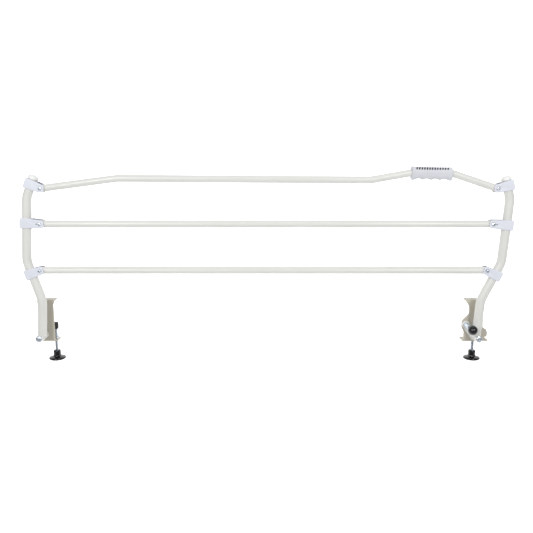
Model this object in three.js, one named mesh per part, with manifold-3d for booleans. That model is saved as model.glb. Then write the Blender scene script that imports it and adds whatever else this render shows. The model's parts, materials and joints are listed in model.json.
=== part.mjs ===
// Bed assist rail: a three-bar folding side rail that stands on two brackets clamped to a bed's side tube.
// Millimetres. +X runs along the rail towards the lock, +Y towards the bed, +Z up.
// The origin lies midway between the hook seats, where the plates' bed side meets the hooks' undersides.
import * as THREE from "three";
import { mergeVertices } from "three/addons/utils/BufferGeometryUtils.js";
import Module from "manifold-3d";

const wasm = await Module();
wasm.setup();

// ---- Driving dimensions ----

const GAP = 0.3; // between pieces that touch
const SPAN = 1395; // between the two base pivots, and between each rail's two pivots
const LEAN = THREE.MathUtils.degToRad(3.8); // the uprights' lean at rest, tops towards +X

const UPRIGHT_RADIUS = 14;
const UPRIGHT_WALL = 2;
const RAIL_RADIUS = 11;
const RAIL_WALL = 1.5;
const TUBE_SIDES = 16;

// An upright's centreline, as distances along and outward from the line through its pivots.
const FOOT_HEIGHT = 3;
const FOOT_OFFSET = -3;
const LOW_BEND_HEIGHT = 122;
const MAIN_BEND_HEIGHT = 246;
const MAIN_OFFSET = 46;
const TOP_BEND_HEIGHT = 445;
const TOP_TILT = THREE.MathUtils.degToRad(18);
const UPRIGHT_BEND_RADIUS = 75;
const RAIL_HEIGHTS = { top: 475.5, middle: 365.8, lower: 219.5 };

// The top rail's centreline, from the point midway between its pivots.
const TOP_RAIL_BENDS = [
  [-466, 30.4],
  [312, 25.5],
  [430, 46.5],
  [562, 45],
];
const RAIL_BEND_RADIUS = 60;
const RAIL_TAIL = 6; // tube beyond each pivot
const PLUG_FLANGE = 1.7;

const KNUCKLE_HALF_WIDTH = 17;
const SLOT_HALF_WIDTH = 11.4;
const KNUCKLE_NOSE = 11; // from the rail's pivot to the knuckle's rounded end
const KNUCKLE_END_HALF_HEIGHT = 12;
const KNUCKLE_END_FILLET = 10.4;
const STOP_HOLE_RADIUS = 1.8; // a small hole beside the screw, through both cheeks
const STOP_HOLE_X = 10.5;
const COLLAR_HALF_HEIGHT = 16.5;
const COLLAR_OUTER = 17; // from the upright's axis to the collar's outer wall
const COLLAR_WEB = 17.5; // from the upright's axis to the floor of the clevis slot

const SCREW_RADIUS = 3; // M6, at the rails' pivots
const BOLT_RADIUS = 5; // M10, at the base pivots and in the clamps

const PLATE_FRONT = 36;
const PLATE_BACK = 40;
const SHEET = PLATE_BACK - PLATE_FRONT;
const HOOK_SEAT = 111; // the hooks' underside above the base pivots
const FLANGE_TOP = -21;
const FLANGE_BACK = 82;
const HOOK_BACK = 70;

const CLAMP_Y = 60;
const TIP_RADIUS = 9;
const TIP_BOTTOM = 12;
const TIP_TOP = 34;
const KNOB_RADIUS = 27;
const KNOB_BOTTOM = -91;
const KNOB_DISC_TOP = -82;
const KNOB_TOP = -60;

const SLEEVE_RADIUS = 11;
const SLEEVE_FRONT = -20;
const SLEEVE_BACK = 34;

const LOCK_RADIUS = 45.5; // from the base pivot to the lock pin
const LOCK_ANGLE = THREE.MathUtils.degToRad(-38.6); // from vertical, at rest
const FOLD_ANGLE = THREE.MathUtils.degToRad(68);
const ARM_FRONT = 26;
const ARM_BACK = 31;
const PIN_RADIUS = 4;
const PIN_NOSE = 35.5;
const BALL_RADIUS = 15;
const BALL_Y = -42;

// ---- Materials ----

const material = (color, roughness, metalness) =>
  new THREE.MeshStandardMaterial({ color, roughness, metalness });
const cream = material(0xe6e5de, 0.4, 0.1);
const bracketGrey = material(0xc3beb2, 0.5, 0.1);
const knucklePlastic = material(0xd9dce6, 0.45, 0);
const gripPlastic = material(0xcfd0d6, 0.55, 0);
const capPlastic = material(0xf2f2f0, 0.35, 0);
const nylon = material(0xefefea, 0.5, 0);
const zinc = material(0xc9ccd1, 0.3, 0.9);
const springSteel = material(0x9a9ca0, 0.35, 0.9);
const blackPlastic = material(0x17181a, 0.3, 0);
const rubber = material(0x151515, 0.85, 0);

// ---- Solids ----

// A closed geometry as a solid whose faces point out.
function solid(geometry) {
  const bare = geometry.clone();
  bare.deleteAttribute("normal");
  bare.deleteAttribute("uv");
  const merged = mergeVertices(bare, 1e-4);
  const index = merged.index.array;
  const triangles = [];
  for (let i = 0; i < index.length; i += 3) {
    const [a, b, c] = index.slice(i, i + 3);
    if (a !== b && b !== c && c !== a) triangles.push([a, b, c]);
  }
  const made = fromTriangles(merged.attributes.position.array, triangles);
  if (made.volume() > 0) return made;
  return fromTriangles(
    merged.attributes.position.array,
    triangles.map(([a, b, c]) => [a, c, b]),
  );
}

function fromTriangles(vertProperties, triangles) {
  const triVerts = new Uint32Array(triangles.flat());
  return new wasm.Manifold(
    new wasm.Mesh({ numProp: 3, vertProperties, triVerts }),
  );
}

const join = (...solids) => solids.reduce((whole, next) => whole.add(next));
const cut = (body, ...tools) =>
  tools.reduce((rest, tool) => rest.subtract(tool), body);

function piece(name, look, body) {
  const made = body.getMesh();
  const geometry = new THREE.BufferGeometry();
  geometry.setAttribute(
    "position",
    new THREE.BufferAttribute(made.vertProperties, 3),
  );
  geometry.setIndex(new THREE.BufferAttribute(made.triVerts, 1));
  geometry.computeVertexNormals();
  const mesh = new THREE.Mesh(geometry, look);
  mesh.name = name;
  return mesh;
}

// A straight cylinder along X, Y or Z, from one end to the other.
function rod(axis, radius, from, to, sides = 16, across = [0, 0]) {
  const geometry = new THREE.CylinderGeometry(
    radius,
    radius,
    to - from,
    sides,
  );
  const middle = (from + to) / 2;
  if (axis === "x") {
    geometry.rotateZ(-Math.PI / 2);
    geometry.translate(middle, across[0], across[1]);
  } else if (axis === "y") {
    geometry.translate(across[0], middle, across[1]);
  } else {
    geometry.rotateX(Math.PI / 2);
    geometry.translate(across[0], across[1], middle);
  }
  return solid(geometry);
}

function box([x0, x1], [y0, y1], [z0, z1]) {
  const geometry = new THREE.BoxGeometry(x1 - x0, y1 - y0, z1 - z0);
  geometry.translate((x0 + x1) / 2, (y0 + y1) / 2, (z0 + z1) / 2);
  return solid(geometry);
}

// A body turned about the Y axis or the Z axis, from [radius, height] pairs.
function turned(axis, profile, sides = 16) {
  const geometry = new THREE.LatheGeometry(
    profile.map(([radius, height]) => new THREE.Vector2(radius, height)),
    sides,
  );
  if (axis === "z") geometry.rotateX(Math.PI / 2);
  return solid(geometry);
}

// A closed outline from [x, y, corner radius] corners.
function roundedOutline(corners) {
  const shape = new THREE.Shape();
  corners.forEach(([x, y, radius = 0], i) => {
    const here = new THREE.Vector2(x, y);
    const [before, after] = [-1, 1].map((step) => {
      const [nx, ny] = corners[(i + step + corners.length) % corners.length];
      return new THREE.Vector2(nx, ny).sub(here).normalize();
    });
    const half = Math.acos(THREE.MathUtils.clamp(before.dot(after), -1, 1)) / 2;
    const reach = radius / Math.tan(half);
    const start = here.clone().addScaledVector(before, reach);
    const end = here.clone().addScaledVector(after, reach);
    if (i === 0) shape.moveTo(start.x, start.y);
    else shape.lineTo(start.x, start.y);
    if (radius === 0) return;
    const toCentre = before.clone().add(after).normalize();
    const centre = here
      .clone()
      .addScaledVector(toCentre, radius / Math.sin(half));
    shape.absarc(
      centre.x,
      centre.y,
      radius,
      start.clone().sub(centre).angle(),
      end.clone().sub(centre).angle(),
      before.cross(after) > 0,
    );
  });
  shape.closePath();
  return shape;
}

function circle(radius) {
  return new THREE.Shape().absarc(0, 0, radius, 0, 2 * Math.PI, false);
}

// An outline in the XZ plane, given thickness along Y.
function plate(shape, y0, y1, curveSegments = 3) {
  const geometry = new THREE.ExtrudeGeometry(shape, {
    depth: y1 - y0,
    bevelEnabled: false,
    curveSegments,
  });
  geometry.rotateX(Math.PI / 2);
  geometry.translate(0, y1, 0);
  return solid(geometry);
}

// An outline in the XY plane, given thickness along Z.
function slab(shape, z0, z1, curveSegments = 3) {
  const geometry = new THREE.ExtrudeGeometry(shape, {
    depth: z1 - z0,
    bevelEnabled: false,
    curveSegments,
  });
  geometry.translate(0, 0, z0);
  return solid(geometry);
}

function hexagon(acrossFlats) {
  const corner = acrossFlats / Math.sqrt(3);
  const turns = [0, 1, 2, 3, 4, 5].map((k) => (k * Math.PI) / 3);
  return roundedOutline(
    turns.map((a) => [corner * Math.cos(a), corner * Math.sin(a)]),
  );
}

// ---- Bent tubes ----

// A path in the XZ plane through given corners: each bend an arc in a few steps, each straight one step.
class BentPath extends THREE.Curve {
  constructor(corners, bendRadius, bendSteps) {
    super();
    this.knots = [];
    this.headings = [];
    const points = corners.map(([x, z]) => new THREE.Vector3(x, 0, z));
    const along = points
      .slice(1)
      .map((point, i) => point.clone().sub(points[i]).normalize());
    this.add(points[0], along[0]);
    for (let i = 1; i < points.length - 1; i++) {
      this.addBend(points[i], along[i - 1], along[i], bendRadius, bendSteps);
    }
    this.add(points.at(-1), along.at(-1));
  }

  add(point, heading) {
    this.knots.push(point);
    this.headings.push(heading);
  }

  addBend(corner, incoming, outgoing, radius, steps) {
    const turn = incoming.angleTo(outgoing);
    const reach = radius * Math.tan(turn / 2);
    const start = corner.clone().addScaledVector(incoming, -reach);
    const axis = incoming.clone().cross(outgoing).normalize();
    const inward = axis.clone().cross(incoming);
    for (let k = 0; k <= steps; k++) {
      const angle = (turn * k) / steps;
      const point = start
        .clone()
        .addScaledVector(incoming, radius * Math.sin(angle))
        .addScaledVector(inward, radius * (1 - Math.cos(angle)));
      this.add(point, incoming.clone().applyAxisAngle(axis, angle));
    }
  }

  get steps() {
    return this.knots.length - 1;
  }

  getPoint(t) {
    return this.knots[Math.round(t * this.steps)].clone();
  }

  getPointAt(u) {
    return this.getPoint(u);
  }

  getTangentAt(u) {
    return this.headings[Math.round(u * this.steps)].clone();
  }
}

function bentTube(corners, bendRadius, radius, wall, bendSteps = 3) {
  const path = new BentPath(corners, bendRadius, bendSteps);
  const ring = circle(radius);
  ring.holes.push(circle(radius - wall));
  return solid(
    new THREE.ExtrudeGeometry(ring, {
      steps: path.steps,
      extrudePath: path,
      curveSegments: TUBE_SIDES / 2,
    }),
  );
}

// ---- Uprights ----

// Where a knuckle meets its upright: the distance from the rail's pivot, and the knuckle's tilt.
function knuckleSeat(level) {
  const height = RAIL_HEIGHTS[level];
  if (level === "middle") return { distance: MAIN_OFFSET, tilt: 0 };
  if (level === "top") {
    const offset = MAIN_OFFSET - (height - TOP_BEND_HEIGHT) * Math.tan(TOP_TILT);
    return { distance: offset * Math.cos(TOP_TILT), tilt: TOP_TILT };
  }
  const rise = MAIN_BEND_HEIGHT - LOW_BEND_HEIGHT;
  const slant = Math.atan((MAIN_OFFSET - FOOT_OFFSET) / rise);
  const offset = FOOT_OFFSET + (height - LOW_BEND_HEIGHT) * Math.tan(slant);
  return { distance: offset * Math.cos(slant), tilt: -slant };
}

// The upright's top end: its offset and height, from the top knuckle's seat.
function uprightEnd() {
  const { distance } = knuckleSeat("top");
  const beyond = COLLAR_HALF_HEIGHT + 1;
  return [
    distance * Math.cos(TOP_TILT) - beyond * Math.sin(TOP_TILT),
    RAIL_HEIGHTS.top +
      distance * Math.sin(TOP_TILT) +
      beyond * Math.cos(TOP_TILT),
  ];
}

function uprightTube(side) {
  const [endOffset, endHeight] = uprightEnd();
  const corners = [
    [side * FOOT_OFFSET, FOOT_HEIGHT],
    [side * FOOT_OFFSET, LOW_BEND_HEIGHT],
    [side * MAIN_OFFSET, MAIN_BEND_HEIGHT],
    [side * MAIN_OFFSET, TOP_BEND_HEIGHT],
    [side * endOffset, endHeight],
  ];
  return cut(
    bentTube(corners, UPRIGHT_BEND_RADIUS, UPRIGHT_RADIUS, UPRIGHT_WALL),
    rod("y", SLEEVE_RADIUS + GAP, -20, 20),
  );
}

function pivotSleeve() {
  const bore = BOLT_RADIUS + GAP;
  return turned("y", [
    [bore, SLEEVE_FRONT],
    [SLEEVE_RADIUS, SLEEVE_FRONT],
    [SLEEVE_RADIUS, SLEEVE_BACK],
    [bore, SLEEVE_BACK],
    [bore, SLEEVE_FRONT],
  ]);
}

// A round cap whose stem plugs the tube's end; its own origin is at that end.
function topCap() {
  const stem = UPRIGHT_RADIUS - UPRIGHT_WALL - GAP;
  return turned(
    "z",
    [
      [0, -14],
      [stem, -14],
      [stem, GAP],
      [16.6, GAP],
      [16.6, 2.6],
      [15.4, 4],
      [14.6, 7],
      [12, 10],
      [7.5, 11.9],
      [0, 12.4],
    ],
    20,
  );
}

// A saddle round the upright with two cheeks. Its own origin is at the rail's pivot, and its +X points
// towards the upright.
function knuckle(level) {
  const { distance } = knuckleSeat(level);
  const outer = distance + COLLAR_OUTER;
  const outline = roundedOutline([
    [-KNUCKLE_NOSE, -KNUCKLE_END_HALF_HEIGHT, KNUCKLE_END_FILLET],
    [outer, -COLLAR_HALF_HEIGHT, 5],
    [outer, COLLAR_HALF_HEIGHT, 5],
    [-KNUCKLE_NOSE, KNUCKLE_END_HALF_HEIGHT, KNUCKLE_END_FILLET],
  ]);
  const body = cut(
    plate(outline, -KNUCKLE_HALF_WIDTH, KNUCKLE_HALF_WIDTH, 2),
    box(
      [-KNUCKLE_NOSE - 1, distance - COLLAR_WEB],
      [-SLOT_HALF_WIDTH, SLOT_HALF_WIDTH],
      [-20, 20],
    ),
    rod("z", UPRIGHT_RADIUS + GAP, -20, 20, TUBE_SIDES, [distance, 0]),
    rod("y", SCREW_RADIUS + GAP, -20, 20, 12),
  );
  if (level !== "middle") return body;
  return cut(body, rod("y", STOP_HOLE_RADIUS, -20, 20, 8, [STOP_HOLE_X, 0]));
}

// A pan-head screw through both cheeks, head at the front.
function railScrew() {
  const face = -KNUCKLE_HALF_WIDTH - GAP;
  return turned(
    "y",
    [
      [0, face - 3.4],
      [3.5, face - 3.2],
      [5.4, face - 1.6],
      [5.8, face],
      [SCREW_RADIUS, face],
      [SCREW_RADIUS, KNUCKLE_HALF_WIDTH + 3.5],
      [0, KNUCKLE_HALF_WIDTH + 3.5],
    ],
    12,
  );
}

function nut(acrossFlats, holeRadius, from, thickness) {
  const shape = hexagon(acrossFlats);
  shape.holes.push(circle(holeRadius));
  return plate(shape, from, from + thickness, 6);
}

function upright(name, side) {
  const group = new THREE.Group();
  group.position.x = (side * SPAN) / 2;
  group.rotation.y = LEAN;
  group.add(piece(`${name}_upright_tube`, cream, uprightTube(side)));
  group.add(piece(`${name}_pivot_sleeve`, cream, pivotSleeve()));

  const cap = piece(`${name}_top_cap`, capPlastic, topCap());
  const [endOffset, endHeight] = uprightEnd();
  cap.position.set(side * endOffset, 0, endHeight);
  cap.rotation.y = -side * TOP_TILT;
  group.add(cap);

  for (const [level, height] of Object.entries(RAIL_HEIGHTS)) {
    const { tilt } = knuckleSeat(level);
    const saddle = piece(
      `${name}_${level}_knuckle`,
      knucklePlastic,
      knuckle(level),
    );
    saddle.position.z = height;
    saddle.rotation.set(0, -side * tilt, side > 0 ? 0 : Math.PI, "YXZ");
    const screw = piece(`${name}_${level}_screw`, zinc, railScrew());
    screw.position.z = height;
    const screwNut = piece(
      `${name}_${level}_screw_nut`,
      zinc,
      nut(10, SCREW_RADIUS + GAP, KNUCKLE_HALF_WIDTH + GAP, 5),
    );
    screwNut.position.z = height;
    group.add(saddle, screw, screwNut);
  }
  return group;
}

// ---- Rails ----

// The rails' cross bores, each where the rail's end meets a pivot.
const crossBore = (x) => rod("y", SCREW_RADIUS + GAP, -20, 20, 12, [x, 0]);

function railTube(bends) {
  const half = SPAN / 2;
  const corners = [[-half, 0], ...bends, [half, 0]];
  const tails = [0, corners.length - 1].map((end) => {
    const tip = new THREE.Vector2(...corners[end]);
    const next = new THREE.Vector2(...corners[end === 0 ? 1 : end - 1]);
    const outward = tip.clone().sub(next).normalize();
    return { outward, at: tip.addScaledVector(outward, RAIL_TAIL) };
  });
  corners[0] = tails[0].at.toArray();
  corners[corners.length - 1] = tails[1].at.toArray();
  const tube = cut(
    bentTube(corners, RAIL_BEND_RADIUS, RAIL_RADIUS, RAIL_WALL),
    crossBore(-half),
    crossBore(half),
  );
  return { tube, tails };
}

// A flanged plug in a rail's end; its own origin is at the tube's end, its +X out of the tube.
function endPlug() {
  const stem = RAIL_RADIUS - RAIL_WALL - GAP;
  return cut(
    join(
      rod("x", stem, -18, 1, TUBE_SIDES),
      rod("x", RAIL_RADIUS, GAP, PLUG_FLANGE, TUBE_SIDES),
    ),
    crossBore(-RAIL_TAIL),
  );
}

function rail(level, bends) {
  const height = RAIL_HEIGHTS[level];
  const group = new THREE.Group();
  group.position.set(height * Math.sin(LEAN), 0, height * Math.cos(LEAN));
  const { tube, tails } = railTube(bends);
  group.add(piece(`${level}_rail_tube`, cream, tube));
  tails.forEach(({ outward, at }, i) => {
    const name = `${level}_rail_${i === 0 ? "left" : "right"}_plug`;
    const plug = piece(name, nylon, endPlug());
    plug.position.set(at.x, 0, at.y);
    plug.rotation.y = -outward.angle();
    group.add(plug);
  });
  return group;
}

// ---- Grip ----

const GRIP_LENGTH = 123;
const GRIP_HALF_WIDTH = 17;
const GRIP_SCALLOPS = 4;

// The grip's side outline, from its middle on the tube's axis, with a scallop for each finger underneath.
function gripOutline() {
  const half = GRIP_LENGTH / 2;
  const cusp = -21;
  const shape = new THREE.Shape();
  shape.moveTo(-half, -20);
  const first = -half + 9;
  const pitch = (GRIP_LENGTH - 18) / GRIP_SCALLOPS;
  shape.lineTo(first, cusp);
  for (let i = 0; i < GRIP_SCALLOPS; i++) {
    const x = first + i * pitch;
    shape.quadraticCurveTo(x + pitch / 2, -12, x + pitch, cusp);
  }
  shape.lineTo(half, -23);
  shape.lineTo(half, 19);
  shape.lineTo(half - 10, 17.5);
  shape.lineTo(-half + 12, 19.5);
  shape.lineTo(-half, 21);
  shape.closePath();
  return shape;
}

function gripShells() {
  const half = GRIP_LENGTH / 2;
  const section = new THREE.ExtrudeGeometry(
    roundedOutline([
      [-GRIP_HALF_WIDTH, -24, 13],
      [GRIP_HALF_WIDTH, -24, 13],
      [GRIP_HALF_WIDTH, 22, 13],
      [-GRIP_HALF_WIDTH, 22, 13],
    ]),
    { depth: GRIP_LENGTH, bevelEnabled: false, curveSegments: 3 },
  );
  section.applyMatrix4(
    new THREE.Matrix4().makeBasis(
      new THREE.Vector3(0, 1, 0),
      new THREE.Vector3(0, 0, 1),
      new THREE.Vector3(1, 0, 0),
    ),
  );
  section.translate(-half, 0, 0);
  const grip = cut(
    plate(gripOutline(), -GRIP_HALF_WIDTH, GRIP_HALF_WIDTH, 6).intersect(
      solid(section),
    ),
    rod("x", RAIL_RADIUS + GAP, -half - 1, half + 1, TUBE_SIDES),
  );
  const reach = [-half - 1, half + 1];
  const wide = [-GRIP_HALF_WIDTH - 1, GRIP_HALF_WIDTH + 1];
  return {
    upper: grip.intersect(box(reach, wide, [GAP / 2, 30])),
    lower: grip.intersect(box(reach, wide, [-30, -GAP / 2])),
  };
}

function grip() {
  const [start, end] = TOP_RAIL_BENDS.slice(2);
  const group = new THREE.Group();
  group.position.set((start[0] + end[0]) / 2, 0, (start[1] + end[1]) / 2);
  group.rotation.y = Math.atan2(start[1] - end[1], end[0] - start[0]);
  const { upper, lower } = gripShells();
  group.add(piece("grip_upper_shell", gripPlastic, upper));
  group.add(piece("grip_lower_shell", gripPlastic, lower));
  return group;
}

// ---- Brackets and their pivots ----

// Each plate's outline and the widths of its two flanges, from its own base pivot.
const BRACKETS = {
  left: {
    outline: [
      [-20, FLANGE_TOP - SHEET, 3],
      [30.5, FLANGE_TOP - SHEET, 3],
      [30.5, 99, 14],
      [35, HOOK_SEAT],
      [35, HOOK_SEAT + SHEET],
      [-22, HOOK_SEAT + SHEET],
      [-22, HOOK_SEAT],
      [-20, HOOK_SEAT - 4],
    ],
    hook: [-22, 35],
    flange: [-20, 34.5],
    clampX: 26,
  },
  right: {
    outline: [
      [-30.3, FLANGE_TOP - SHEET, 3],
      [52, FLANGE_TOP - SHEET, 4],
      [52, -18.5, 1.5],
      [44.5, -16.5, 2],
      [34, -8.5, 1.2],
      [44.5, -8.5, 3],
      [46.5, 5, 9],
      [42, 17, 9],
      [30, 23, 5],
      [30, 56, 8],
      [22, 64, 8],
      [22, HOOK_SEAT],
      [22, HOOK_SEAT + SHEET],
      [-28, HOOK_SEAT + SHEET],
      [-28, HOOK_SEAT],
      [-16.5, 93, 28],
      [-16.5, 68, 14],
      [-38.5, 47, 20],
      [-38.5, 24, 16],
      [-30.3, 9, 8],
    ],
    hook: [-28, 22],
    flange: [-31, 52],
    clampX: 8,
  },
};
const FLANGE_CORNER = 6; // radius of a flange's free corners

const lockPoint = (angle) => [
  LOCK_RADIUS * Math.sin(angle),
  LOCK_RADIUS * Math.cos(angle),
];

// A flange's plan: square at the plate, round at its free corners.
function flangePlan([x0, x1], back) {
  return roundedOutline([
    [x0, PLATE_FRONT],
    [x1, PLATE_FRONT],
    [x1, back, FLANGE_CORNER],
    [x0, back, FLANGE_CORNER],
  ]);
}

function bracket(name) {
  const { outline, hook, flange, clampX } = BRACKETS[name];
  const sheet = join(
    plate(roundedOutline(outline), PLATE_FRONT, PLATE_BACK),
    slab(flangePlan(hook, HOOK_BACK), HOOK_SEAT, HOOK_SEAT + SHEET),
    slab(flangePlan(flange, FLANGE_BACK), FLANGE_TOP - SHEET, FLANGE_TOP),
  );
  const drilled = cut(
    sheet,
    rod("y", BOLT_RADIUS + GAP, 30, 45),
    rod("z", BOLT_RADIUS + GAP, -30, -15, 16, [clampX, CLAMP_Y]),
  );
  if (name === "left") return drilled;
  const holes = [LOCK_ANGLE, LOCK_ANGLE + FOLD_ANGLE].map((angle) =>
    rod("y", PIN_RADIUS + 2 * GAP, 30, 45, 16, lockPoint(angle)),
  );
  return cut(drilled, ...holes);
}

function pivotBolt() {
  const face = SLEEVE_FRONT - GAP;
  const end = PLATE_BACK + 11;
  return turned("y", [
    [0, face - 5.5],
    [5.4, face - 5],
    [9.1, face - 3],
    [10.8, face],
    [BOLT_RADIUS, face],
    [BOLT_RADIUS, end],
    [0, end],
  ]);
}

function pivotWasher() {
  const inner = BOLT_RADIUS + GAP;
  const front = SLEEVE_BACK + GAP;
  const back = PLATE_FRONT - GAP;
  return turned("y", [
    [inner, front],
    [SLEEVE_RADIUS, front],
    [SLEEVE_RADIUS, back],
    [inner, back],
    [inner, front],
  ]);
}

function bracketGroup(name, side) {
  const { clampX } = BRACKETS[name];
  const group = new THREE.Group();
  group.position.x = (side * SPAN) / 2;
  const clampNut = hexagon(16);
  clampNut.holes.push(circle(BOLT_RADIUS + GAP));
  const weldNut = piece(
    `${name}_clamp_nut`,
    zinc,
    slab(clampNut, FLANGE_TOP + GAP, FLANGE_TOP + 8, 8),
  );
  weldNut.position.set(clampX, CLAMP_Y, 0);
  group.add(
    piece(`${name}_bracket`, bracketGrey, bracket(name)),
    piece(`${name}_pivot_bolt`, zinc, pivotBolt()),
    piece(`${name}_pivot_washer`, nylon, pivotWasher()),
    piece(
      `${name}_pivot_nut`,
      zinc,
      nut(16, BOLT_RADIUS + GAP, PLATE_BACK + GAP, 8.5),
    ),
    weldNut,
    clamp(name, clampX),
  );
  return group;
}

// ---- Clamps ----

function clampScrew() {
  const socketTop = TIP_TOP - 8;
  return rod("z", BOLT_RADIUS, KNOB_BOTTOM + 8, socketTop - GAP);
}

function clampTip() {
  const socket = BOLT_RADIUS + GAP;
  return turned("z", [
    [socket, TIP_BOTTOM],
    [TIP_RADIUS - 2.5, TIP_BOTTOM],
    [TIP_RADIUS, TIP_BOTTOM + 4],
    [TIP_RADIUS, TIP_TOP - 1],
    [TIP_RADIUS - 1, TIP_TOP],
    [0, TIP_TOP],
    [0, TIP_TOP - 8],
    [socket, TIP_TOP - 8],
    [socket, TIP_BOTTOM],
  ]);
}

function clampKnob() {
  const socket = BOLT_RADIUS + GAP;
  return turned(
    "z",
    [
      [0, KNOB_BOTTOM],
      [22, KNOB_BOTTOM],
      [KNOB_RADIUS, KNOB_BOTTOM + 3.5],
      [KNOB_RADIUS, KNOB_DISC_TOP - 2],
      [24, KNOB_DISC_TOP],
      [15, KNOB_DISC_TOP + 1.5],
      [12, KNOB_DISC_TOP + 5],
      [11.5, KNOB_TOP - 2.5],
      [9.5, KNOB_TOP],
      [socket, KNOB_TOP],
      [socket, KNOB_BOTTOM + 7],
      [0, KNOB_BOTTOM + 7],
    ],
    24,
  );
}

function clamp(name, clampX) {
  const group = new THREE.Group();
  group.position.set(clampX, CLAMP_Y, 0);
  group.add(
    piece(`${name}_clamp_screw`, zinc, clampScrew()),
    piece(`${name}_clamp_tip`, rubber, clampTip()),
    piece(`${name}_clamp_knob`, blackPlastic, clampKnob()),
  );
  return group;
}

// ---- Lock ----

const HOUSING_FRONT = -14;
const NECK_RADIUS = 5.8;
const NECK_CLEARANCE = 0.6;
const HOUSING_RADIUS = 7.5;
const SPRING_ROOM = 6; // radius of the spring's chamber
const CHAMBER_FRONT = 0;
const COLLAR_FRONT = 20; // the pin's collar, which the spring pushes
const COLLAR_BACK = 23;
const SPRING_RADIUS = 5;
const SPRING_WIRE = 0.5;
const SPRING_TURNS = 6;

function lockArm() {
  const [x, z] = lockPoint(LOCK_ANGLE - LEAN);
  const axis = new THREE.Vector2(x, z).normalize();
  const across = new THREE.Vector2(axis.y, -axis.x);
  const corner = (from, along, out, radius) => {
    const point = new THREE.Vector2(...from)
      .addScaledVector(axis, along)
      .addScaledVector(across, out);
    return [point.x, point.y, radius];
  };
  const outline = roundedOutline([
    corner([0, 0], -16, -16, 14.5),
    corner([0, 0], -16, 16, 14.5),
    corner([x, z], 11, 11, 10.5),
    corner([x, z], 11, -11, 10.5),
  ]);
  return cut(
    plate(outline, ARM_FRONT, ARM_BACK),
    rod("y", SLEEVE_RADIUS + GAP, 20, 35, 20),
    rod("y", PIN_RADIUS + GAP, 20, 35, 16, [x, z]),
  );
}

function lockHousing() {
  const back = ARM_FRONT - GAP;
  const bore = PIN_RADIUS + GAP;
  return turned("y", [
    [bore, HOUSING_FRONT],
    [HOUSING_RADIUS - 1, HOUSING_FRONT],
    [HOUSING_RADIUS, HOUSING_FRONT + 1],
    [HOUSING_RADIUS, back],
    [SPRING_ROOM, back],
    [SPRING_ROOM, CHAMBER_FRONT],
    [bore, CHAMBER_FRONT],
    [bore, HOUSING_FRONT],
  ]);
}

function lockPin() {
  const end = BALL_Y + 6;
  return turned("y", [
    [0, end],
    [PIN_RADIUS, end],
    [PIN_RADIUS, COLLAR_FRONT],
    [SPRING_ROOM - GAP, COLLAR_FRONT],
    [SPRING_ROOM - GAP, COLLAR_BACK],
    [PIN_RADIUS, COLLAR_BACK],
    [PIN_RADIUS, PIN_NOSE - 1],
    [PIN_RADIUS - 1, PIN_NOSE],
    [0, PIN_NOSE],
  ]);
}

class Helix extends THREE.Curve {
  constructor(radius, from, to, turns) {
    super();
    Object.assign(this, { radius, from, to, turns });
  }

  getPoint(t) {
    const angle = 2 * Math.PI * this.turns * t;
    const y = this.from + (this.to - this.from) * t;
    return new THREE.Vector3(
      this.radius * Math.cos(angle),
      y,
      this.radius * Math.sin(angle),
    );
  }
}

function lockSpring() {
  const inset = SPRING_WIRE + GAP;
  const coil = new Helix(
    SPRING_RADIUS,
    CHAMBER_FRONT + inset,
    COLLAR_FRONT - inset,
    SPRING_TURNS,
  );
  return solid(
    new THREE.ExtrudeGeometry(circle(SPRING_WIRE), {
      steps: SPRING_TURNS * 8,
      extrudePath: coil,
      curveSegments: 3,
    }),
  );
}

// A ball whose neck reaches back to the housing.
function ballKnob() {
  const socket = PIN_RADIUS + GAP;
  const depth = BALL_Y + 5;
  const mouth = Math.asin(NECK_RADIUS / BALL_RADIUS);
  const steps = 8;
  const profile = [];
  for (let i = 0; i <= steps; i++) {
    const angle = Math.PI - ((Math.PI - mouth) * i) / steps;
    profile.push([
      Math.max(0, BALL_RADIUS * Math.sin(angle)),
      BALL_Y + BALL_RADIUS * Math.cos(angle),
    ]);
  }
  profile[0][0] = 0;
  const rim = HOUSING_FRONT - NECK_CLEARANCE;
  profile.push(
    [NECK_RADIUS, rim],
    [socket, rim],
    [socket, depth],
    [0, depth],
  );
  return turned("y", profile);
}

// The lock rides on the right upright, so it is placed in that upright's leaning frame.
function lock() {
  const [x, z] = lockPoint(LOCK_ANGLE - LEAN);
  const onPin = new THREE.Group();
  onPin.position.set(x, 0, z);
  onPin.add(
    piece("lock_housing", zinc, lockHousing()),
    piece("lock_pin", zinc, lockPin()),
    piece("lock_spring", springSteel, lockSpring()),
    piece("lock_ball_knob", blackPlastic, ballKnob()),
  );
  const group = new THREE.Group();
  group.position.x = SPAN / 2;
  group.rotation.y = LEAN;
  group.add(piece("lock_arm", cream, lockArm()), onPin);
  return group;
}

// ---- The whole rail ----

const bedRail = new THREE.Group();
const topRail = rail("top", TOP_RAIL_BENDS);
topRail.add(grip());
bedRail.add(
  bracketGroup("left", -1),
  bracketGroup("right", 1),
  upright("left", -1),
  upright("right", 1),
  topRail,
  rail("middle", []),
  rail("lower", []),
  lock(),
);
bedRail.position.set(0, -PLATE_BACK, -HOOK_SEAT);

export default bedRail;
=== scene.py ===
"""Looks of the folding bed rail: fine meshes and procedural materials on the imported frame."""

import json
import math

import bmesh
import bpy
import numpy as np
from mathutils import Matrix, Vector


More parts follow.
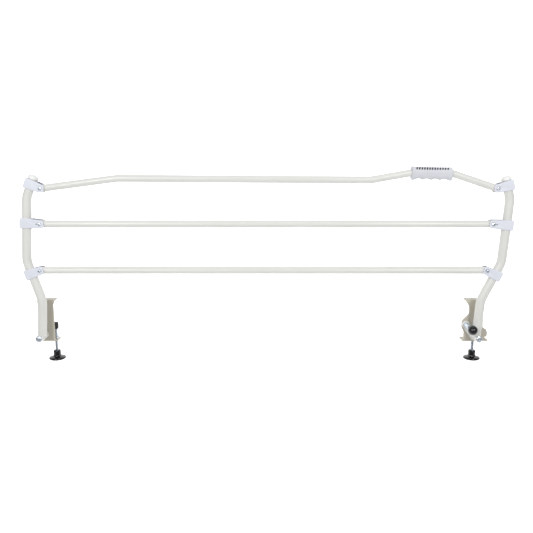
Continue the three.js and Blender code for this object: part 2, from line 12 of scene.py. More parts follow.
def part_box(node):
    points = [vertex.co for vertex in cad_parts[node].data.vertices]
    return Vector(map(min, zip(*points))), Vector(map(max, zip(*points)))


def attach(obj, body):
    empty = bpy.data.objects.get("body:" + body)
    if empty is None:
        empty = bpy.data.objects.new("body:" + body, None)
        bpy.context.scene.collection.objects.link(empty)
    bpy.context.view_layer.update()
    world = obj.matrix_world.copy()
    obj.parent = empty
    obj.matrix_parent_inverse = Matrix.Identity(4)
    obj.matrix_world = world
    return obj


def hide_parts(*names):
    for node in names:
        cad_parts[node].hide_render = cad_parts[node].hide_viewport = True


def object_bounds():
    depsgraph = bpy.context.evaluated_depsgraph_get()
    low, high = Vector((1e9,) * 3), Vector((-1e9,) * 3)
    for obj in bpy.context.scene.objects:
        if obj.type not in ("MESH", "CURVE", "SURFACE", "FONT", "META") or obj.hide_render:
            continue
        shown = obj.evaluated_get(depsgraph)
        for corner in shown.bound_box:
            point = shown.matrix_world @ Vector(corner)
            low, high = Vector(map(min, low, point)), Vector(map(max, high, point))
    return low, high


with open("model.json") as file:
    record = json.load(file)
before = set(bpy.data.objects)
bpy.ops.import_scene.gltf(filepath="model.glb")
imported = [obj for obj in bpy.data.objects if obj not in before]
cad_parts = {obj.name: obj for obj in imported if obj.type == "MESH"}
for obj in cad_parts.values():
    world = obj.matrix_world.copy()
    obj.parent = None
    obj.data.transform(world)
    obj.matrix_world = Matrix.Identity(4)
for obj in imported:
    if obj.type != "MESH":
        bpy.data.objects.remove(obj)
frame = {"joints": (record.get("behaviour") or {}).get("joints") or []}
cad_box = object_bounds()

MM = 0.001
SIDES = ("left", "right")
LEVELS = ("top", "middle", "lower")
JOINT = {j["name"]: j for j in frame["joints"]}

# ---- Places, from the frame ----

BASE = {
    "left": Vector(JOINT["left_upright_fold"]["pos_m"]),
    "right": Vector(JOINT["rail_fold"]["pos_m"]),
}
SPAN = (BASE["right"] - BASE["left"]).length
RIGHT_PIVOT = {level: Vector(JOINT[f"{level}_rail_pivot"]["pos_m"]) for level in LEVELS}
HEIGHT = {level: (RIGHT_PIVOT[level] - BASE["right"]).length for level in LEVELS}
LEAN = math.atan2(
    RIGHT_PIVOT["top"].x - BASE["right"].x, RIGHT_PIVOT["top"].z - BASE["right"].z
)
OUTWARD = {"left": -1, "right": 1}

# ---- Sizes, in metres ----

UPRIGHT_R = 14 * MM
UPRIGHT_WALL = 2 * MM
RAIL_R = 11 * MM
RAIL_WALL = 1.5 * MM
FOOT_HEIGHT = 3 * MM
FOOT_OFFSET = -3 * MM
LOW_BEND = 122 * MM
MAIN_BEND = 246 * MM
MAIN_OFFSET = 46 * MM
TOP_BEND = 445 * MM
TOP_TILT = math.radians(18)
UPRIGHT_BEND_R = 75 * MM
RAIL_BEND_R = 60 * MM
RAIL_TAIL = 6 * MM
TOP_RAIL_BENDS = [(-466, 30.4), (312, 25.5), (430, 46.5), (562, 45)]

KNUCKLE_HALF = 17 * MM
SLOT_HALF = 11.4 * MM
KNUCKLE_NOSE = 11 * MM
KNUCKLE_END_HALF = 12 * MM
KNUCKLE_END_FILLET = 10.4 * MM
COLLAR_HALF = 16.5 * MM
COLLAR_FILLET = 5 * MM
COLLAR_OUTER = 17 * MM
COLLAR_WEB = 17.5 * MM
SCREW_R = 3 * MM
STOP_HOLE_R = 1.9 * MM
STOP_HOLE_X = 10.5 * MM
BOLT_R = 5 * MM
HEAD_R = 10.8 * MM
FIT = 0.3 * MM
THROUGH = 30 * MM  # far enough for a cutter to pass through a knuckle or a plug
TUBE_CUT = (-20 * MM, 20 * MM)  # where the cutters through a tube begin and end
PLATE_CUT = (30 * MM, 45 * MM)

PLATE_FRONT = 36 * MM
PLATE_BACK = 40 * MM
SHEET = PLATE_BACK - PLATE_FRONT
HOOK_SEAT = 111 * MM
HOOK_BACK = 70 * MM
FLANGE_TOP = -21 * MM
FLANGE_BACK = 82 * MM
BEND_R = 5 * MM
SLEEVE_R = 11 * MM
SLEEVE_FRONT = -20 * MM
SLEEVE_BACK = 34 * MM
SCREW_TAIL = 3.5 * MM  # how far a rail screw stands out behind its knuckle
SCREW_THREAD = 0.5 * MM
BOLT_TAIL = 11 * MM  # how far a pivot bolt stands out behind its plate
BOLT_THREAD = 0.9 * MM
BOLT_PITCH = 1.5 * MM
BOLT_NUT = 16 * MM  # across flats
SCREW_NUT = 10 * MM
SCREW_NUT_HEIGHT = 5 * MM
SEAT_R = 6.6 * MM  # the flat round seat under a rail screw's head
CLAMP_Y = 60 * MM
CLAMP_X = {"left": 26 * MM, "right": 8 * MM}
PIN_R = 4 * MM


def in_mm(*pairs):
    """Pairs of numbers given in millimetres, in metres."""
    return [(a * MM, b * MM) for a, b in pairs]


# ---- Meshes ----


def linked(name, data):
    """A new object that holds the data, in the scene."""
    obj = bpy.data.objects.new(name, data)
    bpy.context.scene.collection.objects.link(obj)
    return obj


def new_object(name, verts, faces, creased=35):
    """A mesh object, smooth but for edges sharper than creased degrees."""
    mesh = bpy.data.meshes.new(name)
    mesh.from_pydata([tuple(v) for v in verts], [], [tuple(f) for f in faces])
    mesh.update()
    work = bmesh.new()
    work.from_mesh(mesh)
    stray = [v for v in work.verts if not v.link_faces]
    bmesh.ops.delete(work, geom=stray, context="VERTS")
    bmesh.ops.recalc_face_normals(work, faces=work.faces)
    work.to_mesh(mesh)
    work.free()
    obj = linked(name, mesh)
    crease(obj, creased)
    return obj


def add_ring(verts, rings, points):
    """Adds points to the vertices, and their numbers to the rings."""
    first = len(verts)
    verts.extend(points)
    rings.append(list(range(first, len(verts))))


def skin(rings):
    """The faces between each ring of vertices and the next."""
    faces = []
    for a, b in zip(rings, rings[1:]):
        for k in range(len(a)):
            n = (k + 1) % len(a)
            faces.append([a[k], a[n], b[n], b[k]])
    return faces


def end_strips(rings, steps):
    """The faces that close the first and last ring, each two rows of steps + 1 vertices."""
    faces = []
    for ring in (rings[0], rings[-1]):
        for k in range(steps):
            faces.append([ring[k], ring[k + 1], ring[-2 - k], ring[-1 - k]])
    return faces


def circle(centre, across, other, radius, sides):
    """Points round a centre, in the plane of two directions."""
    angles = [2 * math.pi * k / sides for k in range(sides)]
    return [centre + (across * math.cos(a) + other * math.sin(a)) * radius for a in angles]


def laid(verts, axis):
    """Vertices made about z, turned to lie about another axis."""
    if axis == "y":
        return [Vector((v.x, v.z, -v.y)) for v in verts]
    if axis == "x":
        return [Vector((v.z, v.x, v.y)) for v in verts]
    return verts


def crease(obj, degrees=35):
    obj.data.shade_smooth()
    obj.data.set_sharp_from_angle(angle=math.radians(degrees))


def settle(obj, creased=35):
    """Applies the object's modifiers to its mesh."""
    graph = bpy.context.evaluated_depsgraph_get()
    mesh = bpy.data.meshes.new_from_object(obj.evaluated_get(graph))
    old = obj.data
    obj.modifiers.clear()
    obj.data = mesh
    bpy.data.meshes.remove(old)
    crease(obj, creased)
    return obj


def bevel(obj, width, segments=3, angle=40):
    edge = obj.modifiers.new("edge", "BEVEL")
    edge.width = width
    edge.segments = segments
    edge.limit_method = "ANGLE"
    edge.angle_limit = math.radians(angle)
    return settle(obj)


def carve(obj, *cutters, operation="DIFFERENCE", creased=35):
    for cutter in cutters:
        cut = obj.modifiers.new("cut", "BOOLEAN")
        cut.operation = operation
        cut.solver = "EXACT"
        cut.object = cutter
        cut.material_mode = "TRANSFER"
        settle(obj, creased)
        bpy.data.objects.remove(cutter)
    return obj


def turned(name, profile, axis="z", sides=64, shape=None, creased=35):
    """A body turned about an axis from (radius, height) pairs; shape(angle, height) scales a radius."""
    verts = []
    rows = []
    for radius, height in profile:
        points = []
        for k in range(sides if radius > 1e-7 else 1):
            angle = 2 * math.pi * k / sides
            r = radius * (shape(angle, height) if shape else 1)
            points.append(Vector((r * math.cos(angle), r * math.sin(angle), height)))
        add_ring(verts, rows, points)
    faces = []
    if profile[0] == profile[-1]:
        rows[-1] = rows[0]
    for a, b in zip(rows, rows[1:]):
        for k in range(sides):
            quad = [a[k % len(a)], a[(k + 1) % len(a)], b[(k + 1) % len(b)], b[k % len(b)]]
            quad = list(dict.fromkeys(quad))
            if len(quad) > 2:
                faces.append(quad)
    return new_object(name, laid(verts, axis), faces, creased)


def cylinder(name, radius, low, high, axis="z", across=(0, 0), sides=48):
    obj = turned(name, [(0, low), (radius, low), (radius, high), (0, high)], axis, sides)
    shift = {"x": (0, *across), "y": (across[0], 0, across[1]), "z": (*across, 0)}[axis]
    obj.data.transform(Matrix.Translation(shift))
    return obj


def block(name, x, y, z):
    verts = [Vector((a, b, c)) for a in x for b in y for c in z]
    faces = [(0, 1, 3, 2), (4, 6, 7, 5), (0, 4, 5, 1), (2, 3, 7, 6), (0, 2, 6, 4), (1, 5, 7, 3)]
    return new_object(name, verts, faces)


def rounded(corners, steps=8):
    """A closed outline from (x, y, corner radius) corners, as a list of 2-D points."""
    points = []
    count = len(corners)
    for i, (x, y, radius) in enumerate(corners):
        here = Vector((x, y))
        before = (Vector(corners[i - 1][:2]) - here).normalized()
        after = (Vector(corners[(i + 1) % count][:2]) - here).normalized()
        if radius < 1e-9:
            points.append(here)
            continue
        half = math.acos(max(-1, min(1, before.dot(after)))) / 2
        centre = here + (before + after).normalized() * radius / math.sin(half)
        start = here + before * radius / math.tan(half) - centre
        turn = math.pi - 2 * half
        sense = 1 if before.x * after.y - before.y * after.x < 0 else -1
        for k in range(steps + 1):
            a = sense * turn * k / steps
            c, s = math.cos(a), math.sin(a)
            spun = Vector((start.x * c - start.y * s, start.x * s + start.y * c))
            points.append(centre + spun)
    return points


def prism(name, outline, low, high, axis="y"):
    """An outline given thickness along an axis: XZ outlines along y, XY outlines along z."""
    count = len(outline)
    verts = []
    for level in (low, high):
        for p in outline:
            verts.append(Vector((p.x, level, p.y)) if axis == "y" else Vector((p.x, p.y, level)))
    rings = [list(range(count)), list(range(count, 2 * count))]
    return new_object(name, verts, [rings[0], rings[1][::-1], *skin(rings)])


def bent_path(corners, radius):
    """Points and headings along an XZ path with an arc at each inner corner."""
    points = [Vector((x, 0, z)) for x, z in corners]
    along = [(b - a).normalized() for a, b in zip(points, points[1:])]
    path = [(points[0], along[0])]
    steps = 14
    for i in range(1, len(points) - 1):
        turn = along[i - 1].angle(along[i])
        start = points[i] - along[i - 1] * radius * math.tan(turn / 2)
        axis = along[i - 1].cross(along[i]).normalized()
        inward = axis.cross(along[i - 1])
        for k in range(steps + 1):
            a = turn * k / steps
            offset = along[i - 1] * math.sin(a) + inward * (1 - math.cos(a))
            heading = Matrix.Rotation(a, 3, axis) @ along[i - 1]
            path.append((start + offset * radius, heading))
    path.append((points[-1], along[-1]))
    return path


def swept_tube(name, path, radius, wall, sides=48):
    """A hollow tube along a path in the XZ plane, with softened rims."""
    rim = 0.4 * MM
    rings = []
    core = radius - wall
    (start, setting_out), (end, arriving) = path[0], path[-1]
    loops = [(start, setting_out, radius - rim), (start + setting_out * rim, setting_out, radius)]
    loops += [(p, h, radius) for p, h in path[1:-1]]
    loops += [(end - arriving * rim, arriving, radius), (end, arriving, radius - rim)]
    loops += [(end, arriving, core), *[(p, h, core) for p, h in reversed(path[1:-1])]]
    loops.append((start, setting_out, core))
    verts = []
    for point, heading, r in loops:
        side = Vector((0, 1, 0))
        add_ring(verts, rings, circle(point, side, side.cross(heading), r, sides))
    return new_object(name, verts, skin([*rings, rings[0]]))


def swept_wire(name, points, radius, sides=10):
    """A solid round wire along points; radius is one number, or one for each point."""
    count = len(points)
    radii = radius if hasattr(radius, "__len__") else [radius] * count
    verts = []
    rings = []
    across = None
    for i, p in enumerate(points):
        heading = (points[min(i + 1, count - 1)] - points[max(i - 1, 0)]).normalized()
        if across is None:
            across = heading.orthogonal().normalized()
        across = (across - heading * across.dot(heading)).normalized()
        add_ring(verts, rings, circle(p, across, heading.cross(across), radii[i], sides))
    return new_object(name, verts, [rings[0][::-1], rings[-1], *skin(rings)])


def joined(name, *objs):
    """Several objects made into one."""
    work = bmesh.new()
    for o in objs:
        work.from_mesh(o.data)
    mesh = bpy.data.meshes.new(name)
    work.to_mesh(mesh)
    work.free()
    for o in objs:
        bpy.data.objects.remove(o)
    obj = linked(name, mesh)
    crease(obj)
    return obj


def thread(name, radius, pitch, low, high, depth, axis="z", steps=20):
    """A helical ridge that fades out at both ends and stands depth high, up to the radius."""
    turns = (high - low) / pitch - 1
    count = int(turns * steps)
    verts = []
    rings = []
    for i in range(count + 1):
        a = 2 * math.pi * i / steps
        fade = min(1, i / (0.4 * steps), (count - i) / (0.4 * steps))
        h = low + pitch / 2 + pitch * i / steps
        core = radius - depth - 0.05 * MM
        crest = core + (depth + 0.05 * MM) * max(fade, 0.02)
        section = ((core, -0.46), (crest, -0.06), (crest, 0.06), (core, 0.46))
        points = [(r * math.cos(a), r * math.sin(a), h + lift * pitch) for r, lift in section]
        add_ring(verts, rings, [Vector(p) for p in points])
    faces = [rings[0][::-1], rings[-1], *skin(rings)]
    return new_object(name, laid(verts, axis), faces, 50)


# ---- Materials ----

NOISE_RANGE = (0.3, 0.7)  # where nearly all of a noise's values lie


class Look:
    """A procedural material: a principled shader with noise-driven colour, roughness and bump."""

    def __init__(self, name, **sockets):
        self.material = bpy.data.materials.new(name)
        self.material.use_nodes = True
        self.nodes = self.material.node_tree.nodes
        self.links = self.material.node_tree.links
        self.shader = self.nodes["Principled BSDF"]
        for socket, value in sockets.items():
            self.shader.inputs[socket.replace("_", " ")].default_value = value
        self.where = self.nodes.new("ShaderNodeTexCoord").outputs["Object"]

    def noise(self, scale, detail, stretch=(1, 1, 1)):
        mapping = self.nodes.new("ShaderNodeMapping")
        mapping.inputs["Scale"].default_value = stretch
        self.links.new(self.where, mapping.inputs["Vector"])
        noise = self.nodes.new("ShaderNodeTexNoise")
        noise.inputs["Scale"].default_value = scale
        noise.inputs["Detail"].default_value = detail
        noise.inputs["Roughness"].default_value = 0.55
        self.links.new(mapping.outputs["Vector"], noise.inputs["Vector"])
        return noise.outputs["Fac"]

    def ramp(self, factor, stops):
        ramp = self.nodes.new("ShaderNodeValToRGB")
        elements = ramp.color_ramp.elements
        while len(elements) < len(stops):
            elements.new(0.5)
        for element, (place, colour) in zip(elements, stops):
            element.position = place
            element.color = (*colour, 1)
        self.links.new(factor, ramp.inputs["Fac"])
        return ramp.outputs["Color"]

    def shades(self, scale, detail, deep, pale):
        """A noise between two colours."""
        low, high = NOISE_RANGE
        return self.ramp(self.noise(scale, detail), [(low, deep), (high, pale)])

    def spread(self, factor, source, target=(0, 1), kind="LINEAR"):
        """A factor carried from one range to another."""
        node = self.nodes.new("ShaderNodeMapRange")
        node.interpolation_type = kind
        ends = zip(("From Min", "From Max", "To Min", "To Max"), (*source, *target))
        for name, value in ends:
            node.inputs[name].default_value = value
        self.links.new(factor, node.inputs["Value"])
        return node.outputs["Result"]

    def patchy(self, scale, detail, low, high, stretch=(1, 1, 1)):
        """A noise between two values."""
        return self.spread(self.noise(scale, detail, stretch), NOISE_RANGE, (low, high))

    def mixed(self, factor, a, b):
        mix = self.nodes.new("ShaderNodeMix")
        mix.data_type = "RGBA"
        self.links.new(factor, mix.inputs["Factor"])
        for key, value in (("A", a), ("B", b)):
            socket = [s for s in mix.inputs if s.name == key and s.type == "RGBA"][0]
            if isinstance(value, tuple):
                socket.default_value = (*value, 1)
            else:
                self.links.new(value, socket)
        return [s for s in mix.outputs if s.type == "RGBA"][0]

    def edges(self, low, high):
        """0 on flat and hollow surfaces, 1 along convex edges."""
        point = self.nodes.new("ShaderNodeNewGeometry").outputs["Pointiness"]
        return self.spread(point, (low, high))

    def grain(self, scale, detail, strength, depth, under=None):
        """Bumps from a noise, depth millimetres deep."""
        bump = self.nodes.new("ShaderNodeBump")
        bump.inputs["Strength"].default_value = strength
        bump.inputs["Distance"].default_value = depth * MM
        self.links.new(self.noise(scale, detail), bump.inputs["Height"])
        if under:
            self.links.new(under, bump.inputs["Normal"])
        return bump.outputs["Normal"]

    def finish(self, colour=None, roughness=None, normal=None):
        for name, value in (("Base Color", colour), ("Roughness", roughness), ("Normal", normal)):
            if value is not None:
                self.links.new(value, self.shader.inputs[name])
        return self.material


def powder_coat(name, pale, deep, roughness=(0.3, 0.42)):
    look = Look(name, Coat_Weight=0.08, Coat_Roughness=0.25, IOR=1.48)
    colour = look.shades(9, 3, deep, pale)
    colour = look.mixed(look.patchy(900, 2, 0, 0.08), colour, deep)
    worn = tuple(min(1, c * 1.06) for c in pale)
    colour = look.mixed(look.edges(0.56, 0.75), colour, worn)
    peel = look.grain(420, 2, 0.16, 0.25)
    fine = look.grain(1700, 2, 0.06, 0.08, peel)
    return look.finish(colour, look.patchy(60, 4, *roughness), fine)


def moulded(name, pale, deep, roughness=(0.42, 0.56), grain=0.12):
    look = Look(name, IOR=1.46, Subsurface_Weight=0.03, Subsurface_Scale=0.004)
    colour = look.shades(14, 3, deep, pale)
    rub = tuple(min(1, c * 1.05) for c in pale)
    colour = look.mixed(look.edges(0.55, 0.72), colour, rub)
    flow = look.patchy(30, 3, *roughness, (1, 1, 5))
    return look.finish(colour, flow, look.grain(1500, 3, grain, 0.12))


def zinc_plate():
    look = Look("zinc_plate", Metallic=1.0, Specular_Tint=(0.55, 0.6, 0.66, 1))
    blotches = [(0.3, (0.38, 0.43, 0.5)), (0.5, (0.66, 0.71, 0.76)), (0.7, (0.88, 0.9, 0.92))]
    tint = look.ramp(look.noise(130, 4), blotches)
    # Darker in the hollows: painted shade
    hollow_shaded_tint = look.mixed(look.edges(0.5, 0.44), tint, (0.16, 0.17, 0.2))
    return look.finish(hollow_shaded_tint, look.patchy(160, 4, 0.2, 0.38), look.grain(700, 3, 0.1, 0.05))


def spring_wire():
    look = Look("spring_wire", Metallic=1.0)
    tint = look.shades(200, 4, (0.3, 0.3, 0.31), (0.48, 0.48, 0.49))
    return look.finish(tint, look.patchy(300, 4, 0.25, 0.45), look.grain(2500, 2, 0.15, 0.03))


def black_gloss():
    look = Look("black_gloss", IOR=1.48)
    tint = look.shades(20, 3, (0.003, 0.003, 0.004), (0.006, 0.006, 0.008))
    tint = look.mixed(look.edges(0.7, 0.95), tint, (0.012, 0.012, 0.014))
    return look.finish(tint, look.patchy(220, 4, 0.05, 0.12), look.grain(90, 2, 0.12, 0.2))


def black_rubber():
    look = Look("black_rubber", IOR=1.45, Sheen_Weight=0.15, Sheen_Roughness=0.5)
    tint = look.shades(60, 4, (0.012, 0.012, 0.012), (0.026, 0.025, 0.024))
    bloom = look.mixed(look.patchy(400, 4, 0, 0.2), tint, (0.05, 0.05, 0.05))
    return look.finish(bloom, look.patchy(120, 4, 0.68, 0.88), look.grain(1300, 3, 0.3, 0.1))


def slot_shadow():
    look = Look("slot_shadow", IOR=1.45)
    tint = look.shades(80, 3, (0.008, 0.008, 0.012), (0.014, 0.015, 0.021))
    return look.finish(tint, look.patchy(200, 4, 0.55, 0.75), look.grain(900, 2, 0.2, 0.1))


CREAM = powder_coat("cream_powder_coat", (0.655, 0.655, 0.63), (0.625, 0.625, 0.598))
BRACKET = powder_coat("grey_powder_coat", (0.49, 0.46, 0.39), (0.455, 0.425, 0.355), (0.36, 0.5))
KNUCKLE = moulded("lavender_grey_plastic", (0.66, 0.68, 0.745), (0.625, 0.645, 0.71))
# Dark grey for the knuckles' slot faces: painted shade, darker than the real moulding
PAINTED_SLOT_SHADE = moulded("painted_shade_plastic", (0.2, 0.21, 0.25), (0.16, 0.17, 0.21))
GRIP = moulded("grip_plastic", (0.60, 0.61, 0.65), (0.56, 0.57, 0.61), (0.5, 0.64), 0.2)
CAP = moulded("cap_plastic", (0.78, 0.78, 0.77), (0.74, 0.74, 0.73), (0.3, 0.42), 0.05)
NYLON = moulded("nylon", (0.82, 0.82, 0.79), (0.77, 0.77, 0.74), (0.4, 0.55), 0.08)
ZINC = zinc_plate()
SPRING = spring_wire()
BLACK = black_gloss()
RUBBER = black_rubber()
SHADOW = slot_shadow()


def fit(obj, look, body, place, *nodes):
    """Paints a piece, sets it in place, makes it ride on its body and stand for its CAD nodes."""
    if not any(obj.data.materials):
        obj.data.materials.clear()
        obj.data.materials.append(look)
        obj.data.polygons.foreach_set("material_index", [0] * len(obj.data.polygons))
    obj.data.transform(place)
    obj.data.update()
    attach(obj, body)
    if nodes:
        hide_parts(*nodes)
    return obj


def at(point, turn=0.0):
    """A move to a point, after a turn about y."""
    return Matrix.Translation(point) @ Matrix.Rotation(turn, 4, "Y")


UPRIGHT_PLACE = {side: at(BASE[side], LEAN) for side in SIDES}

# ---- Fasteners ----


def hexagon(across_flats):
    corner = across_flats / math.sqrt(3)
    return [
        Vector((corner * math.cos(k * math.pi / 3), corner * math.sin(k * math.pi / 3)))
        for k in range(6)
    ]


def hex_nut(name, across_flats, hole, low, high, axis="y"):
    """A chamfered nut with a countersunk bore."""
    nut = prism(name, hexagon(across_flats), low, high, axis)
    flat = across_flats / 2
    corner = across_flats / math.sqrt(3)
    chamfer = 0.9 * (corner - flat)
    face = 0.97 * flat
    brim = corner + 0.1 * MM
    dome = [(0, low), (face, low), (brim, low + chamfer)]
    dome += [(brim, high - chamfer), (face, high), (0, high)]
    carve(nut, turned("chamfer", dome, axis), operation="INTERSECT")
    sink = 0.8 * MM
    over = 1 * MM
    wide = hole + sink
    bore = [(0, low - over), (wide, low - over), (wide, low), (hole, low + sink)]
    bore += [(hole, high - sink), (wide, high), (wide, high + over), (0, high + over)]
    carve(nut, turned("bore", bore, axis))
    return bevel(nut, 0.15 * MM, 2)


def rail_screw(name):
    """A cross-recessed pan-head screw with a threaded tail, head at the front."""
    face = -KNUCKLE_HALF - FIT
    tail = KNUCKLE_HALF + SCREW_TAIL
    start = 10 * MM
    core = SCREW_R - SCREW_THREAD
    head = in_mm((0, 3.4), (2.2, 3.35), (3.9, 2.95), (5.0, 2.2), (5.6, 1.2), (5.8, 0.3), (5.65, 0))
    profile = [(r, face - rise) for r, rise in head]
    profile += [(SCREW_R, face), (SCREW_R, start), (core, start + SCREW_THREAD)]
    profile += [(core, tail - SCREW_THREAD), (core - SCREW_THREAD, tail), (0, tail)]
    screw = turned(name, profile, "y", 48)
    reach, half = 2.6 * MM, 0.5 * MM
    for turn in (math.pi / 4, -math.pi / 4):
        wing = block("wing", (-reach, reach), (face - 5 * MM, face - 1.5 * MM), (-half, half))
        wing.data.transform(Matrix.Rotation(turn, 4, "Y"))
        carve(screw, wing)
    bevel(screw, 0.12 * MM, 2, 50)
    low, high = start + 0.6 * MM, tail - 0.3 * MM
    ridge = thread("ridge", SCREW_R, 1 * MM, low, high, SCREW_THREAD, "y", 16)
    return joined(name, screw, ridge)


def pivot_bolt(name):
    """A domed socket-head bolt with a threaded tail behind the plate."""
    face = SLEEVE_FRONT - FIT
    tail = PLATE_BACK + BOLT_TAIL
    rise = 4.5 * MM
    core = BOLT_R - BOLT_THREAD
    angles = np.linspace(0, math.pi / 2, 12)
    profile = [(HEAD_R * math.sin(a), face - 1 * MM - rise * math.cos(a)) for a in angles]
    profile += [(HEAD_R, face - 0.3 * MM), (HEAD_R - 0.3 * MM, face), (BOLT_R, face)]
    profile += [(BOLT_R, PLATE_FRONT), (core, PLATE_FRONT + 1 * MM)]
    profile += [(core, tail - 1 * MM), (core - BOLT_THREAD, tail), (0, tail)]
    bolt = turned(name, profile, "y", 64)
    carve(bolt, prism("socket", hexagon(6 * MM), face - 8 * MM, face - 2.2 * MM))
    bevel(bolt, 0.25 * MM, 2, 50)
    low, high = PLATE_FRONT + 1.2 * MM, tail - 0.4 * MM
    ridge = thread("ridge", BOLT_R, BOLT_PITCH, low, high, BOLT_THREAD, "y")
    return joined(name, bolt, ridge)


def lock_nut(name):
    """A hexagon nut with a crowned collar at its far end, as on a nylon-insert lock nut."""
    low = PLATE_BACK + FIT
    bore = BOLT_R + FIT
    nut = hex_nut(name, BOLT_NUT, bore, low, low + 6.6 * MM)
    outer = in_mm((7.4, 6.4), (7.2, 7.9), (6.5, 8.5), (5.8, 8.3))
    ring = [(bore, 6.4 * MM), *outer, (bore, 8.1 * MM), (bore, 6.4 * MM)]
    crown = turned("crown", [(r, low + h) for r, h in ring], "y")
    return joined(name, nut, crown)


# ---- Uprights ----


def seat(level):
    """A knuckle's distance from the rail's pivot to the upright's axis, and its tilt."""
    if level == "middle":
        return MAIN_OFFSET, 0.0
    if level == "top":
        offset = MAIN_OFFSET - (HEIGHT["top"] - TOP_BEND) * math.tan(TOP_TILT)
        return offset * math.cos(TOP_TILT), TOP_TILT
    slant = math.atan((MAIN_OFFSET - FOOT_OFFSET) / (MAIN_BEND - LOW_BEND))
    offset = FOOT_OFFSET + (HEIGHT["lower"] - LOW_BEND) * math.tan(slant)
    return offset * math.cos(slant), -slant


def upright_end():
    distance, _ = seat("top")
    beyond = COLLAR_HALF + 1 * MM
    offset = distance * math.cos(TOP_TILT) - beyond * math.sin(TOP_TILT)
    height = HEIGHT["top"] + distance * math.sin(TOP_TILT) + beyond * math.cos(TOP_TILT)
    return offset, height


def upright_tube(side):
    spots = [(FOOT_OFFSET, FOOT_HEIGHT), (FOOT_OFFSET, LOW_BEND), (MAIN_OFFSET, MAIN_BEND)]
    spots += [(MAIN_OFFSET, TOP_BEND), upright_end()]
    path = bent_path([(OUTWARD[side] * x, z) for x, z in spots], UPRIGHT_BEND_R)
    tube = swept_tube(f"{side}_upright", path, UPRIGHT_R, UPRIGHT_WALL, 64)
    carve(tube, cylinder("saddle", SLEEVE_R + 0.1 * MM, *TUBE_CUT, "y"))
    return tube


def saddle_weld(side, facing):
    """The bead where the upright's foot meets the sleeve, at the front or the back."""
    points = []
    centre = OUTWARD[side] * FOOT_OFFSET
    reach = SLEEVE_R - 0.3 * MM
    for k in range(41):
        x = -reach + 2 * reach * k / 40
        z = math.sqrt(max(0, (SLEEVE_R + 0.2 * MM) ** 2 - x * x))
        y = math.sqrt(UPRIGHT_R**2 - (x - centre) ** 2)
        points.append(Vector((x, facing * y, max(z, FOOT_HEIGHT + 0.6 * MM))))
    radii = [(1.15 + 0.18 * math.sin(k * 1.9)) * MM for k in range(41)]
    return swept_wire(f"{side}_foot_weld_{'front' if facing < 0 else 'back'}", points, radii, 12)


def bush(name, front, back, edge):
    """A ring round the pivot bolt, with chamfered outer edges."""
    bore = BOLT_R + FIT
    profile = [(bore, front), (SLEEVE_R - edge, front), (SLEEVE_R, front + edge)]
    profile += [(SLEEVE_R, back - edge), (SLEEVE_R - edge, back), (bore, back), (bore, front)]
    return turned(name, profile, "y")


def top_cap(side):
    """A round cap: a thin flange under a soft dome, on a stem."""
    stem = UPRIGHT_R - UPRIGHT_WALL - FIT
    dome = [
        (15.2 * math.sin(a) ** 0.8, 3.9 + 8.5 * math.cos(a))
        for a in np.linspace(math.pi / 2, 0, 18)[:-1]
    ]
    flange = [(16.1, 0.3), (16.6, 0.8), (16.6, 2.3), (16.2, 3.0), (15.5, 3.3)]
    profile = [(0, -14 * MM), (stem - 1 * MM, -14 * MM), (stem, -13 * MM), (stem, 0.3 * MM)]
    profile += in_mm(*flange, *dome, (0, 12.4))
    return turned(f"{side}_cap", profile, "z", 72)


def knuckle(name, level):
    """A moulded saddle round the upright, with two cheeks for the rail's end."""
    distance, _ = seat(level)
    outer = distance + COLLAR_OUTER
    corners = [
        (-KNUCKLE_NOSE, -KNUCKLE_END_HALF, KNUCKLE_END_FILLET),
        (outer, -COLLAR_HALF, COLLAR_FILLET),
        (outer, COLLAR_HALF, COLLAR_FILLET),
        (-KNUCKLE_NOSE, KNUCKLE_END_HALF, KNUCKLE_END_FILLET),
    ]
    body = prism(name, rounded(corners, 10), -KNUCKLE_HALF, KNUCKLE_HALF)
    bevel(body, 2.2 * MM, 4)
    mouth = -KNUCKLE_NOSE - 5 * MM
    web = distance - COLLAR_WEB
    inner = 2.5 * MM
    slot = [(mouth, -SLOT_HALF, 0), (web, -SLOT_HALF, inner), (web, SLOT_HALF, inner)]
    gap = prism("slot", rounded([*slot, (mouth, SLOT_HALF, 0)]), -THROUGH, THROUGH, "z")
    # The slot's inner faces and web take the dark plastic: painted shade in the narrow slot
    gap.data.materials.append(PAINTED_SLOT_SHADE)
    body.data.materials.append(KNUCKLE)
    floor = 0.4 * MM - KNUCKLE_HALF
    recess = [(0, -20 * MM), (SEAT_R, -20 * MM), (SEAT_R, floor), (0, floor)]
    carve(
        body,
        gap,
        cylinder("bore", UPRIGHT_R + 0.15 * MM, -THROUGH, THROUGH, "z", (distance, 0), 64),
        cylinder("hole", SCREW_R + FIT, -THROUGH, THROUGH, "y"),
        turned("seat", recess, "y"),
    )
    if level == "middle":
        stop = cylinder("stop", STOP_HOLE_R, -THROUGH, THROUGH, "y", (STOP_HOLE_X, 0), 24)
        stop.data.materials.append(SHADOW)
        carve(body, stop)
    return bevel(body, 0.35 * MM, 2, 50)


